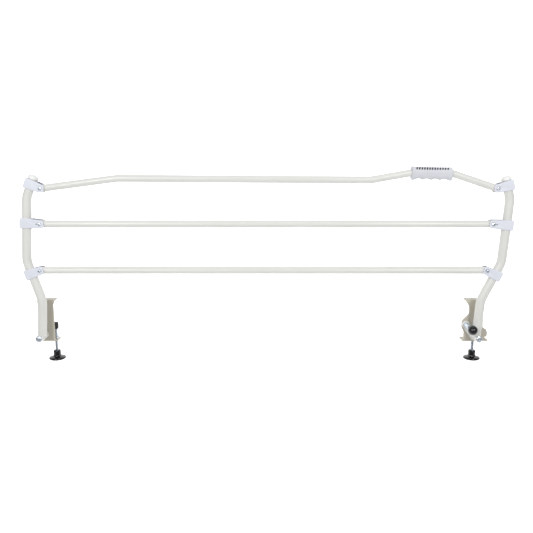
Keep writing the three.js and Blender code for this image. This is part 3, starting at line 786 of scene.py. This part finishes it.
def build_upright(side):
    body = f"{side}_upright"
    place = UPRIGHT_PLACE[side]
    out = OUTWARD[side]
    fit(upright_tube(side), CREAM, body, place, f"{side}_upright_tube")
    sleeve = bush(f"{side}_sleeve", SLEEVE_FRONT, SLEEVE_BACK, 0.6 * MM)
    fit(sleeve, CREAM, body, place, f"{side}_pivot_sleeve")
    for facing in (-1, 1):
        fit(saddle_weld(side, facing), CREAM, body, place)
    end_offset, end_height = upright_end()
    on_top = place @ at((out * end_offset, 0, end_height), -out * TOP_TILT)
    fit(top_cap(side), CAP, body, on_top, f"{side}_top_cap")
    for level in LEVELS:
        _, tilt = seat(level)
        pivot = place @ at((0, 0, HEIGHT[level]))
        facing = Matrix.Rotation(0 if out > 0 else math.pi, 4, "Z")
        turn = Matrix.Rotation(-out * tilt, 4, "Y") @ facing
        node = f"{side}_{level}"
        fit(knuckle(f"{node}_saddle", level), KNUCKLE, body, pivot @ turn, f"{node}_knuckle")
        spin = Matrix.Rotation(0.5 + 1.3 * HEIGHT[level] / MAIN_OFFSET, 4, "Y")
        fit(rail_screw(f"{node}_pan_screw"), ZINC, body, pivot @ spin, f"{node}_screw")
        low = KNUCKLE_HALF + FIT
        bore = SCREW_R + 0.05 * MM
        nut = hex_nut(f"{node}_hex_nut", SCREW_NUT, bore, low, low + SCREW_NUT_HEIGHT)
        fit(nut, ZINC, body, pivot, f"{node}_screw_nut")


# ---- Rails ----


def rail_corners(level):
    half = SPAN / 2
    bends = [(x * MM, z * MM) for x, z in TOP_RAIL_BENDS] if level == "top" else []
    return [(-half, 0), *bends, (half, 0)]


def rail_tails(corners):
    """Each end's outward heading and the tube's tip."""
    tails = []
    for end, near in ((0, 1), (-1, -2)):
        tip = Vector(corners[end])
        heading = (tip - Vector(corners[near])).normalized()
        tails.append((heading, tip + heading * RAIL_TAIL))
    return tails


def end_plug(name):
    stem = RAIL_R - RAIL_WALL - 0.15 * MM
    brim = RAIL_R - 0.1 * MM
    under = 0.1 * MM
    flange = 1.7 * MM
    profile = [(0, -18 * MM), (stem - 0.8 * MM, -18 * MM), (stem, -17 * MM), (stem, under)]
    profile += [(brim, under), (brim, flange - 0.9 * MM), (RAIL_R - 0.6 * MM, flange - 0.25 * MM)]
    profile += [(RAIL_R - 1.6 * MM, flange), (0, flange)]
    plug = turned(name, profile, "x")
    return carve(plug, cylinder("hole", SCREW_R + FIT, -THROUGH, THROUGH, "y", (-RAIL_TAIL, 0)))


def build_rail(level):
    body = f"{level}_rail"
    middle = (RIGHT_PIVOT[level] + RIGHT_PIVOT[level] - Vector((SPAN, 0, 0))) / 2
    place = at(middle)
    corners = rail_corners(level)
    tails = rail_tails(corners)
    ends = [tuple(tip) for _, tip in tails]
    path = bent_path([ends[0], *corners[1:-1], ends[1]], RAIL_BEND_R)
    tube = swept_tube(f"{level}_rail", path, RAIL_R, RAIL_WALL)
    for x in (-SPAN / 2, SPAN / 2):
        carve(tube, cylinder("hole", SCREW_R + FIT, *TUBE_CUT, "y", (x, 0), 32))
    fit(tube, CREAM, body, place, f"{level}_rail_tube")
    for side, (heading, tip) in zip(SIDES, tails):
        turn = Matrix.Rotation(-math.atan2(heading.y, heading.x), 4, "Y")
        spot = place @ at((tip.x, 0, tip.y)) @ turn
        fit(end_plug(f"{level}_rail_{side}_end"), NYLON, body, spot, f"{level}_rail_{side}_plug")


# ---- Grip ----

GRIP_LENGTH = 123 * MM
GRIP_SLOTS = 13
SLOT_RUN = 94 * MM  # from the first slot's middle to the last's
SLOT_WIDTH = 4.3 * MM
SLOT_LENGTH = 10 * MM
SLOT_DEPTH = 3.6 * MM
SLOT_SLANT = math.radians(16)
SHOULDER_Y = 11.4 * MM
SHOULDER_Z = 14.6 * MM
SHOULDER_SLOPE = math.radians(48)


def grip_profile(u):
    """Half width, top and bottom of the grip's section at u, from 0 at the left end to 1."""
    flare = math.exp(-((u / 0.045) ** 2)) + math.exp(-(((u - 1.0) / 0.05) ** 2))
    run = 9 / 123
    wave = (u - run) / (1 - 2 * run)
    scallop = 0.0
    if 0 < wave < 1:
        scallop = abs(math.sin(math.pi * 4 * wave)) ** 0.8
    bottom = -(20.6 + 1.2 * u) * MM + 4.3 * MM * scallop - 0.7 * MM * flare
    top = 18.6 * MM + (1.4 - 1.6 * u) * MM + 1.0 * MM * flare
    half = 15.6 * MM + 1.1 * MM * flare + 0.5 * MM * math.cos(2 * math.pi * u)
    return half, top, bottom


def grip_shell(name, upper):
    """Half of the grip, as a loft of half rings round the tube's bore."""
    stations = 120
    arc = 28
    bore = RAIL_R + 0.1 * MM
    seam = 0.12 * MM
    sense = 1 if upper else -1
    verts = []
    rings = []
    for i in range(stations + 1):
        u = i / stations
        half, top, bottom = grip_profile(u)
        end = min(u, 1 - u) * GRIP_LENGTH
        soften = 1 - 0.07 * max(0, 1 - end / (2.2 * MM)) ** 2
        x = (u - 0.5) * GRIP_LENGTH
        points = []
        height = (top if upper else -bottom) * soften
        for k in range(arc + 1):
            a = math.pi * k / arc
            power = 0.8
            c, s = math.cos(a), math.sin(a)
            y = half * soften * math.copysign(abs(c) ** power, c)
            z = height * abs(s) ** power
            points.append(Vector((x, y, sense * max(z, seam))))
        for k in range(arc, -1, -1):
            a = math.pi * k / arc
            z = max(bore * math.sin(a), seam)
            points.append(Vector((x, bore * math.cos(a), sense * z)))
        add_ring(verts, rings, points)
    return new_object(name, verts, skin(rings) + end_strips(rings, arc), 40)


def grip_slot(i, facing):
    """A slanted cutter for one slot on the grip's front shoulder, facing -1, or its back one."""
    x = (i / (GRIP_SLOTS - 1) - 0.5) * SLOT_RUN
    half, reach = SLOT_WIDTH / 2, SLOT_LENGTH / 2
    corners = [(-half, -reach), (half, -reach), (half, reach), (-half, reach)]
    outline = rounded([(u, v, 0.9 * half) for u, v in corners], 5)
    cutter = prism("slot", outline, -SLOT_DEPTH, 10 * MM, "z")
    slant = Matrix.Rotation(facing * SLOT_SLANT, 4, "Z")
    face = Matrix.Rotation(-facing * SHOULDER_SLOPE, 4, "X")
    spot = Matrix.Translation((x, facing * SHOULDER_Y, SHOULDER_Z))
    cutter.data.transform(spot @ face @ slant)
    cutter.data.materials.append(SHADOW)
    return cutter


def build_grip():
    start, end = [Vector((x * MM, 0, z * MM)) for x, z in TOP_RAIL_BENDS[2:]]
    middle = RIGHT_PIVOT["top"] - Vector((SPAN / 2, 0, 0)) + (start + end) / 2
    place = at(middle, math.atan2(start.z - end.z, end.x - start.x))
    upper = grip_shell("grip_upper", True)
    upper.data.materials.append(GRIP)
    for facing in (-1, 1):
        for i in range(GRIP_SLOTS):
            carve(upper, grip_slot(i, facing), creased=40)
    fit(upper, GRIP, "top_rail", place, "grip_upper_shell")
    fit(grip_shell("grip_lower", False), GRIP, "top_rail", place, "grip_lower_shell")


# ---- Brackets ----

# In millimetres. Each plate is (x, z, corner radius) corners, between its flanges' bends.
PLATES = {
    "left": [
        *[(-20, -18, 0), (30.5, -18, 0), (30.5, 99, 14), (35, 111, 0)],
        *[(35, 113, 0), (-22, 113, 0), (-22, 111, 0), (-20, 107, 0)],
    ],
    "right": [
        *[(-30.3, -18, 0), (50, -18, 0), (44.5, -16.5, 2), (34, -8.5, 1.2), (44.5, -8.5, 3)],
        *[(46.5, 5, 9), (42, 17, 9), (30, 23, 5), (30, 56, 8), (22, 64, 8), (22, 111, 0)],
        *[(22, 113, 0), (-28, 113, 0), (-28, 111, 0), (-16.5, 93, 28), (-16.5, 68, 14)],
        *[(-38.5, 47, 20), (-38.5, 24, 16), (-30.3, 9, 8)],
    ],
}
HOOK = {"left": (-22, 35), "right": (-28, 22)}
FLANGE = {"left": (-20, 34.5), "right": (-31, 52)}
FREE_CORNER = 6.0
FREE_ROWS = [0, 0.25, 0.6, 1, 1.6, 2.4, 3.5, 5, 7, 9]  # closer together at the round corners
LOWEST_ROW = -17.5
PAST_BEND = 5.6  # from a flange's middle to the first flat row of the plate


def width_at(outline, z):
    """The outline's lowest and highest x at height z."""
    found = []
    for a, b in zip(outline, outline[1:] + outline[:1]):
        if (a.y - z) * (b.y - z) <= 0 and abs(a.y - b.y) > 1e-9:
            found.append(a.x + (b.x - a.x) * (z - a.y) / (b.y - a.y))
    return min(found), max(found)


def flange_width(limits, left_on):
    """A flange's sides in millimetres at left_on from its free edge, where its corners are round."""
    low, high = limits
    inset = 0.0
    if left_on < FREE_CORNER:
        inset = FREE_CORNER - math.sqrt(max(0, FREE_CORNER**2 - (FREE_CORNER - left_on) ** 2))
    return low + inset, high - inset


def spaced(values, least):
    """The sorted values, without those nearer than least to the one before."""
    kept = []
    for value in sorted(values):
        if not kept or value - kept[-1] > least:
            kept.append(value)
    return kept


def bracket_rows(side):
    """Rows across the sheet, from the lower flange's free edge over the plate to the hook's free edge.

    Each row is (lowest x, highest x, place of the sheet's middle, its normal).
    """
    outline = rounded([(x, z, r) for x, z, r in PLATES[side]], 10)
    middle_y = (PLATE_FRONT + PLATE_BACK) / 2
    low_z = FLANGE_TOP - SHEET / 2
    high_z = HOOK_SEAT + SHEET / 2
    rows = []

    def flat_rows(limits, back, z, up, places):
        for t in places:
            x0, x1 = flange_width(limits, t)
            rows.append((x0, x1, Vector((0, back - t * MM, z)), Vector((0, 0, up))))

    def bend_rows(widths, z, normals):
        centre = Vector((0, middle_y + BEND_R, z))
        for (x0, x1), normal in zip(widths, normals):
            rows.append((x0, x1, centre + normal * BEND_R, normal))

    def between(start, stop, shares):
        (a0, a1), (b0, b1) = start, stop
        return [(a0 + (b0 - a0) * share, a1 + (b1 - a1) * share) for share in shares]

    turns = np.linspace(0, math.pi / 2, 9)[1:]
    inner = (FLANGE_BACK - middle_y) / MM - 5
    places = [*FREE_ROWS, *np.linspace(12, inner, 5)]
    flat_rows(FLANGE[side], FLANGE_BACK, low_z, -1, places)
    foot = width_at(outline, LOWEST_ROW)
    widths = between(FLANGE[side], foot, [a / (math.pi / 2) for a in turns])
    bend_rows(widths, low_z + BEND_R, [Vector((0, -math.sin(a), -math.cos(a))) for a in turns])
    first, last = low_z / MM + PAST_BEND, high_z / MM - PAST_BEND
    heights = [*np.linspace(first, last, 60), *(p.y for p in outline if first < p.y < last)]
    for z in spaced(heights, 0.12):
        x0, x1 = width_at(outline, z)
        rows.append((x0, x1, Vector((0, middle_y, z * MM)), Vector((0, -1, 0))))
    widths = between(rows[-1][:2], HOOK[side], [math.sin(a) ** 0.6 for a in turns])
    bend_rows(widths, high_z - BEND_R, [Vector((0, -math.cos(a), math.sin(a))) for a in turns])
    inner = (HOOK_BACK - middle_y) / MM - 7
    places = [*np.linspace(inner, 12, 5), *FREE_ROWS[::-1]]
    flat_rows(HOOK[side], HOOK_BACK, high_z, 1, places)
    return rows


def bracket(side):
    across = 10
    verts = []
    rings = []
    for x0, x1, place, normal in bracket_rows(side):
        points = []
        for face in (1, -1):
            steps = range(across + 1) if face > 0 else range(across, -1, -1)
            for k in steps:
                x = (x0 + (x1 - x0) * k / across) * MM
                points.append(place + normal * face * SHEET / 2 + Vector((x, 0, 0)))
        add_ring(verts, rings, points)
    faces = skin(rings) + end_strips(rings, across)
    sheet = new_object(f"{side}_bent_plate", verts, faces)
    holes = [
        cylinder("hole", BOLT_R + FIT, *PLATE_CUT, "y"),
        cylinder("hole", BOLT_R + FIT, -30 * MM, -15 * MM, "z", (CLAMP_X[side], CLAMP_Y)),
    ]
    if side == "right":
        fold = math.radians(JOINT["rail_fold"]["range_deg"][1])
        for turn in (0, fold):
            spot = Matrix.Rotation(turn, 3, "Y") @ LOCK_OFFSET
            holes.append(cylinder("hole", PIN_R + 2 * FIT, *PLATE_CUT, "y", (spot.x, spot.z)))
    carve(sheet, *holes)
    return bevel(sheet, 0.45 * MM, 2, 60)


def nut_weld(side, k):
    """One of the three short beads that hold the clamp nut to its flange."""
    ring = 8.9 * MM
    start = k * 2 * math.pi / 3
    points = [
        Vector((ring * math.cos(start + a), ring * math.sin(start + a), FLANGE_TOP + 0.5 * MM))
        for a in np.linspace(-0.35, 0.35, 12)
    ]
    swell = [math.sin(math.pi * (i + 0.5) / 12) for i in range(12)]
    radii = [(0.5 + 0.8 * swell[i] + 0.1 * (i % 2)) * MM for i in range(12)]
    return swept_wire(f"{side}_nut_weld_{k}", points, radii, 10)


def build_bracket(side):
    place = at(BASE[side])
    fit(bracket(side), BRACKET, "brackets", place, f"{side}_bracket")
    fit(pivot_bolt(f"{side}_domed_bolt"), ZINC, "brackets", place, f"{side}_pivot_bolt")
    washer = bush(f"{side}_nylon_washer", SLEEVE_BACK + FIT, PLATE_FRONT - FIT, 0.25 * MM)
    fit(washer, NYLON, "brackets", place, f"{side}_pivot_washer")
    fit(lock_nut(f"{side}_lock_nut"), ZINC, "brackets", place, f"{side}_pivot_nut")
    over_clamp = place @ at((CLAMP_X[side], CLAMP_Y, 0))
    low, high = FLANGE_TOP + 0.1 * MM, FLANGE_TOP + 8 * MM
    nut = hex_nut(f"{side}_weld_nut", BOLT_NUT, BOLT_R + FIT, low, high, "z")
    fit(nut, ZINC, "brackets", over_clamp, f"{side}_clamp_nut")
    for k in range(3):
        fit(nut_weld(side, k), BRACKET, "brackets", over_clamp)


# ---- Clamps ----

TIP_TOP = 34 * MM
KNOB_BOTTOM = -91 * MM
ROD_THREAD = 0.85 * MM


def clamp_rod(side):
    low = KNOB_BOTTOM + 8 * MM
    high = TIP_TOP - 8.4 * MM
    core = BOLT_R - ROD_THREAD
    shoulder = high - 1 * MM
    profile = [(0, low), (core, low), (core, shoulder), (core - 0.8 * MM, high), (0, high)]
    body = turned(f"{side}_threaded_rod", profile)
    ridge = thread("ridge", BOLT_R - 0.02 * MM, BOLT_PITCH, low, shoulder, ROD_THREAD)
    return joined(f"{side}_threaded_rod", body, ridge)


def clamp_tip(side):
    """A moulded rubber tip with a bevelled foot and two shallow grooves."""
    foot = [(5.25, 12), (6.3, 12), (7.4, 13.2), (8.6, 15.2), (9.0, 16.6)]
    grooves = [
        (radius, middle + offset)
        for middle in (20.2, 25.4)
        for radius, offset in ((9.0, -0.8), (8.55, -0.4), (8.55, 0.4), (9.0, 0.8))
    ]
    head = [(9.0, 32.4), (8.7, 33.4), (7.9, 34.0), (3.0, 34.0), (2.4, 33.6), (0, 33.6)]
    socket = [(0, 26.2), (5.25, 26.2), (5.25, 12)]
    return turned(f"{side}_rubber_tip", in_mm(*foot, *grooves, *head, *socket), "z", 64)


def clamp_knob(side):
    """A disc knob with a fluted hub."""
    below = [(0, -90.2), (8, -90.2), (9, -91), (21.5, -91), (24.6, -90.3), (26.4, -89.0)]
    rim = [(27.0, -87.4), (27.0, -86.2), (26.3, -84.6), (24.4, -83.3), (21.5, -82.4)]
    root = [(16.0, -81.4), (13.2, -80.6), (12.1, -79.2), (11.7, -77.2), (11.5, -74.0)]
    hub = [(11.5, -63.0), (11.1, -61.4), (10.3, -60.4), (9.3, -60.0)]
    socket = [(5.3, -60.0), (5.3, -84.0), (0, -84.0)]

    def flute(angle, height):
        from_disc = min(1, max(0, (height / MM + 83) / 5))
        from_top = min(1, max(0, (-60.6 - height / MM) / 2))
        return 1 - 0.075 * from_disc * from_top * (0.5 + 0.5 * math.cos(6 * angle)) ** 3

    profile = in_mm(*below, *rim, *root, *hub, *socket)
    return turned(f"{side}_disc_knob", profile, "z", 120, flute, 50)


def build_clamp(side):
    place = at(BASE[side] + Vector((CLAMP_X[side], CLAMP_Y, 0)))
    turning = f"{side}_clamp_screw"
    fit(clamp_rod(side), ZINC, turning, place, f"{side}_clamp_screw")
    fit(clamp_knob(side), BLACK, turning, place, f"{side}_clamp_knob")
    fit(clamp_tip(side), RUBBER, f"{side}_clamp_pad", place, f"{side}_clamp_tip")


# ---- Lock ----

PIN_LOW, PIN_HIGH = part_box("lock_pin")
PIN_AXIS = (PIN_LOW + PIN_HIGH) / 2
LOCK_OFFSET = Vector((PIN_AXIS.x - BASE["right"].x, 0, PIN_AXIS.z - BASE["right"].z))
ARM_FRONT = 26 * MM
ARM_BACK = 31 * MM
HOUSING_FRONT = -14 * MM
HOUSING_R = 7.5 * MM
CHAMBER_R = 6 * MM
COLLAR_FRONT = 20 * MM  # where the pin's collar meets the spring
BALL_R = 15 * MM
BALL_Y = -42 * MM
NECK_R = 5.8 * MM


def lock_arm():
    axis = Vector((LOCK_OFFSET.x, LOCK_OFFSET.z)).normalized()
    across = Vector((axis.y, -axis.x))
    pin = Vector((LOCK_OFFSET.x, LOCK_OFFSET.z))

    def corner(start, along, out, radius):
        p = start + axis * along * MM + across * out * MM
        return (p.x, p.y, radius * MM)

    origin = Vector((0, 0))
    corners = [corner(origin, -16, -16, 14.5), corner(origin, -16, 16, 14.5)]
    corners += [corner(pin, 11, 11, 10.5), corner(pin, 11, -11, 10.5)]
    outline = rounded(corners, 14)
    arm = prism("lock_lever", outline, ARM_FRONT, ARM_BACK)
    bevel(arm, 0.8 * MM, 3)
    return carve(
        arm,
        cylinder("hole", SLEEVE_R + 0.1 * MM, 20 * MM, 40 * MM, "y"),
        cylinder("hole", PIN_R + FIT, 20 * MM, 40 * MM, "y", (pin.x, pin.y)),
    )


def arm_weld():
    points = [
        Vector((SLEEVE_R * math.cos(a), ARM_FRONT - 0.2 * MM, SLEEVE_R * math.sin(a)))
        for a in np.linspace(0.1, 2 * math.pi - 0.1, 72)
    ]
    radii = [(1.3 + 0.16 * math.sin(k * 1.7)) * MM for k in range(72)]
    return swept_wire("arm_weld", points, radii, 12)


def lock_housing():
    back = ARM_FRONT - 0.1 * MM
    bore = PIN_R + FIT
    groove = 7.0 * MM
    profile = [(bore, HOUSING_FRONT + 0.4 * MM), (bore + 0.4 * MM, HOUSING_FRONT)]
    profile += in_mm((6.3, -14), (7.2, -13.2))
    profile += [(HOUSING_R, -12.2 * MM), (HOUSING_R, -8 * MM), (groove, -7.5 * MM)]
    profile += [(groove, -6.5 * MM), (HOUSING_R, -6 * MM), (HOUSING_R, back - 0.6 * MM)]
    profile += [(HOUSING_R - 0.6 * MM, back), (CHAMBER_R, back), (CHAMBER_R, 0), (bore, 0)]
    return turned("plunger_housing", [*profile, profile[0]], "y")


def lock_pin():
    blunt = BALL_Y + 6 * MM
    collar = CHAMBER_R - FIT
    edge = 0.3 * MM
    end = COLLAR_FRONT + 3 * MM
    nose = 35.5 * MM
    profile = [(0, blunt), (PIN_R, blunt), (PIN_R, COLLAR_FRONT), (collar - edge, COLLAR_FRONT)]
    profile += [(collar, COLLAR_FRONT + edge), (collar, end - edge), (collar - edge, end)]
    profile += [(PIN_R, end), (PIN_R, nose - 1.3 * MM), (PIN_R - 0.5 * MM, nose - 0.4 * MM)]
    profile += [(PIN_R - 1.3 * MM, nose), (0, nose)]
    return turned("plunger_pin", profile, "y")


def lock_coil():
    turns = 6
    steps = turns * 28
    wire = 0.5 * MM
    coil = 5 * MM
    low = wire + FIT
    high = COLLAR_FRONT - wire - FIT
    points = []
    for i in range(steps + 1):
        t = i / steps
        lift = min(1, max(0, (t * turns - 0.8) / (turns - 1.6)))
        height = low + (high - low) * (0.06 * t + 0.94 * lift)
        a = 2 * math.pi * turns * t
        points.append(Vector((coil * math.cos(a), height, coil * math.sin(a))))
    return swept_wire("plunger_spring", points, wire, 12)


def ball_knob():
    """A ball whose neck reaches back to the housing, with a fine parting line."""
    socket = PIN_R + 0.1 * MM
    start = math.asin((NECK_R + 0.5 * MM) / BALL_R)
    profile = []
    for a in np.linspace(math.pi, start, 40):
        r = BALL_R * math.sin(a)
        if abs(a - math.pi / 2) < 0.045:
            r += 0.08 * MM
        profile.append((max(0, r), BALL_Y + BALL_R * math.cos(a)))
    profile[0] = (0, profile[0][1])
    root = profile[-1][1]
    rim = HOUSING_FRONT - 0.6 * MM
    profile += [(NECK_R, root + 0.6 * MM), (NECK_R, rim - 0.5 * MM)]
    profile += [(NECK_R - 0.5 * MM, rim), (socket, rim)]
    profile += [(socket, BALL_Y + 5 * MM), (0, BALL_Y + 5 * MM)]
    return turned("ball", profile, "y", 72, creased=50)


def build_lock():
    at_base = at(BASE["right"])
    on_pin = at(BASE["right"] + LOCK_OFFSET)
    fit(lock_arm(), CREAM, "right_upright", at_base, "lock_arm")
    fit(arm_weld(), CREAM, "right_upright", at_base)
    fit(lock_housing(), ZINC, "right_upright", on_pin, "lock_housing")
    fit(lock_coil(), SPRING, "right_upright", on_pin, "lock_spring")
    fit(lock_pin(), ZINC, "lock_pin", on_pin, "lock_pin")
    fit(ball_knob(), BLACK, "lock_pin", on_pin, "lock_ball_knob")


# ---- Studio ----

FLOOR_DROP = 0.9  # below the rail's lowest point
WALL_START = 2.2
WALL_CURVE = 1.6
GLOW = 0.75
GLOW_ALONG_Y = (-1.4, 0.5)  # from the grey floor in front to the white one behind
FLOOR_GREY = (0.42, 0.42, 0.42)
SKY = 0.45
LIGHTS = {
    "left_key": ((-1.15, -2.3, 1.1), (-0.5, 0, 0.1), (0.5, 0.5), 31),
    "right_key": ((1.15, -2.3, 1.1), (0.5, 0, 0.1), (0.5, 0.5), 28),
    "top": ((0.3, -0.6, 3.2), (0, 0, 0.1), (2.0, 1.0), 10),
}
CAMERA_OFFSET = Vector((23.75, -1854.6, 558)) * MM  # from midway between the base pivots
CAMERA_DIP = math.radians(10)
FOCAL_PIXELS = 600
FRAME_PIXELS = 533
SENSOR = 36


def backdrop():
    """A floor that curves up into a wall, well behind the rail."""
    low = cad_box[0][2] - FLOOR_DROP
    profile = [(-5.0, low), (WALL_START, low)]
    for a in np.linspace(0, math.pi / 2, 24):
        back = WALL_START + WALL_CURVE * math.sin(a)
        profile.append((back, low + WALL_CURVE * (1 - math.cos(a))))
    profile.append((WALL_START + WALL_CURVE, 7.0))
    verts = [(x, y, z) for y, z in profile for x in (-9.0, 9.0)]
    faces = [(2 * k, 2 * k + 1, 2 * k + 3, 2 * k + 2) for k in range(len(profile) - 1)]
    mesh = bpy.data.meshes.new("backdrop")
    mesh.from_pydata(verts, [], faces)
    obj = linked("backdrop", mesh)
    mesh.shade_smooth()
    look = Look("studio_paper", Specular_IOR_Level=0.0, Emission_Color=(1, 1, 1, 1))
    paper = look.shades(0.7, 2, (0.88, 0.88, 0.88), (0.9, 0.9, 0.9))
    parts = look.nodes.new("ShaderNodeSeparateXYZ")
    look.links.new(look.where, parts.inputs["Vector"])
    share = look.spread(parts.outputs["Y"], GLOW_ALONG_Y, kind="SMOOTHSTEP")
    tint = look.mixed(share, FLOOR_GREY, paper)
    glow = look.nodes.new("ShaderNodeMath")
    glow.operation = "MULTIPLY"
    glow.inputs[1].default_value = GLOW
    look.links.new(share, glow.inputs[0])
    look.links.new(glow.outputs["Value"], look.shader.inputs["Emission Strength"])
    mesh.materials.append(look.finish(tint, look.patchy(3, 4, 0.85, 0.95)))


def area_light(name, place, target, size, power):
    light = bpy.data.lights.new(name, "AREA")
    light.shape = "RECTANGLE"
    light.size, light.size_y = size
    light.energy = power
    obj = linked(name, light)
    obj.location = place
    obj.rotation_euler = (Vector(target) - Vector(place)).to_track_quat("-Z", "Y").to_euler()
    obj.visible_camera = False


def studio():
    world = bpy.data.worlds.new("studio")
    bpy.context.scene.world = world
    world.use_nodes = True
    sky = world.node_tree.nodes["Background"]
    sky.inputs["Color"].default_value = (1, 1, 1, 1)
    sky.inputs["Strength"].default_value = SKY
    for name, (place, target, size, power) in LIGHTS.items():
        area_light(name, place, target, size, power)
    bpy.context.scene.view_settings.view_transform = "Standard"


def camera():
    data = bpy.data.cameras.new("camera")
    data.sensor_width = SENSOR
    data.lens = SENSOR * FOCAL_PIXELS / FRAME_PIXELS
    obj = linked("camera", data)
    obj.location = (BASE["left"] + BASE["right"]) / 2 + CAMERA_OFFSET
    obj.rotation_euler = (math.pi / 2 - CAMERA_DIP, 0, 0)
    bpy.context.scene.camera = obj


for side in SIDES:
    build_upright(side)
    build_bracket(side)
    build_clamp(side)
for level in LEVELS:
    build_rail(level)
build_grip()
build_lock()
backdrop()
studio()
camera()
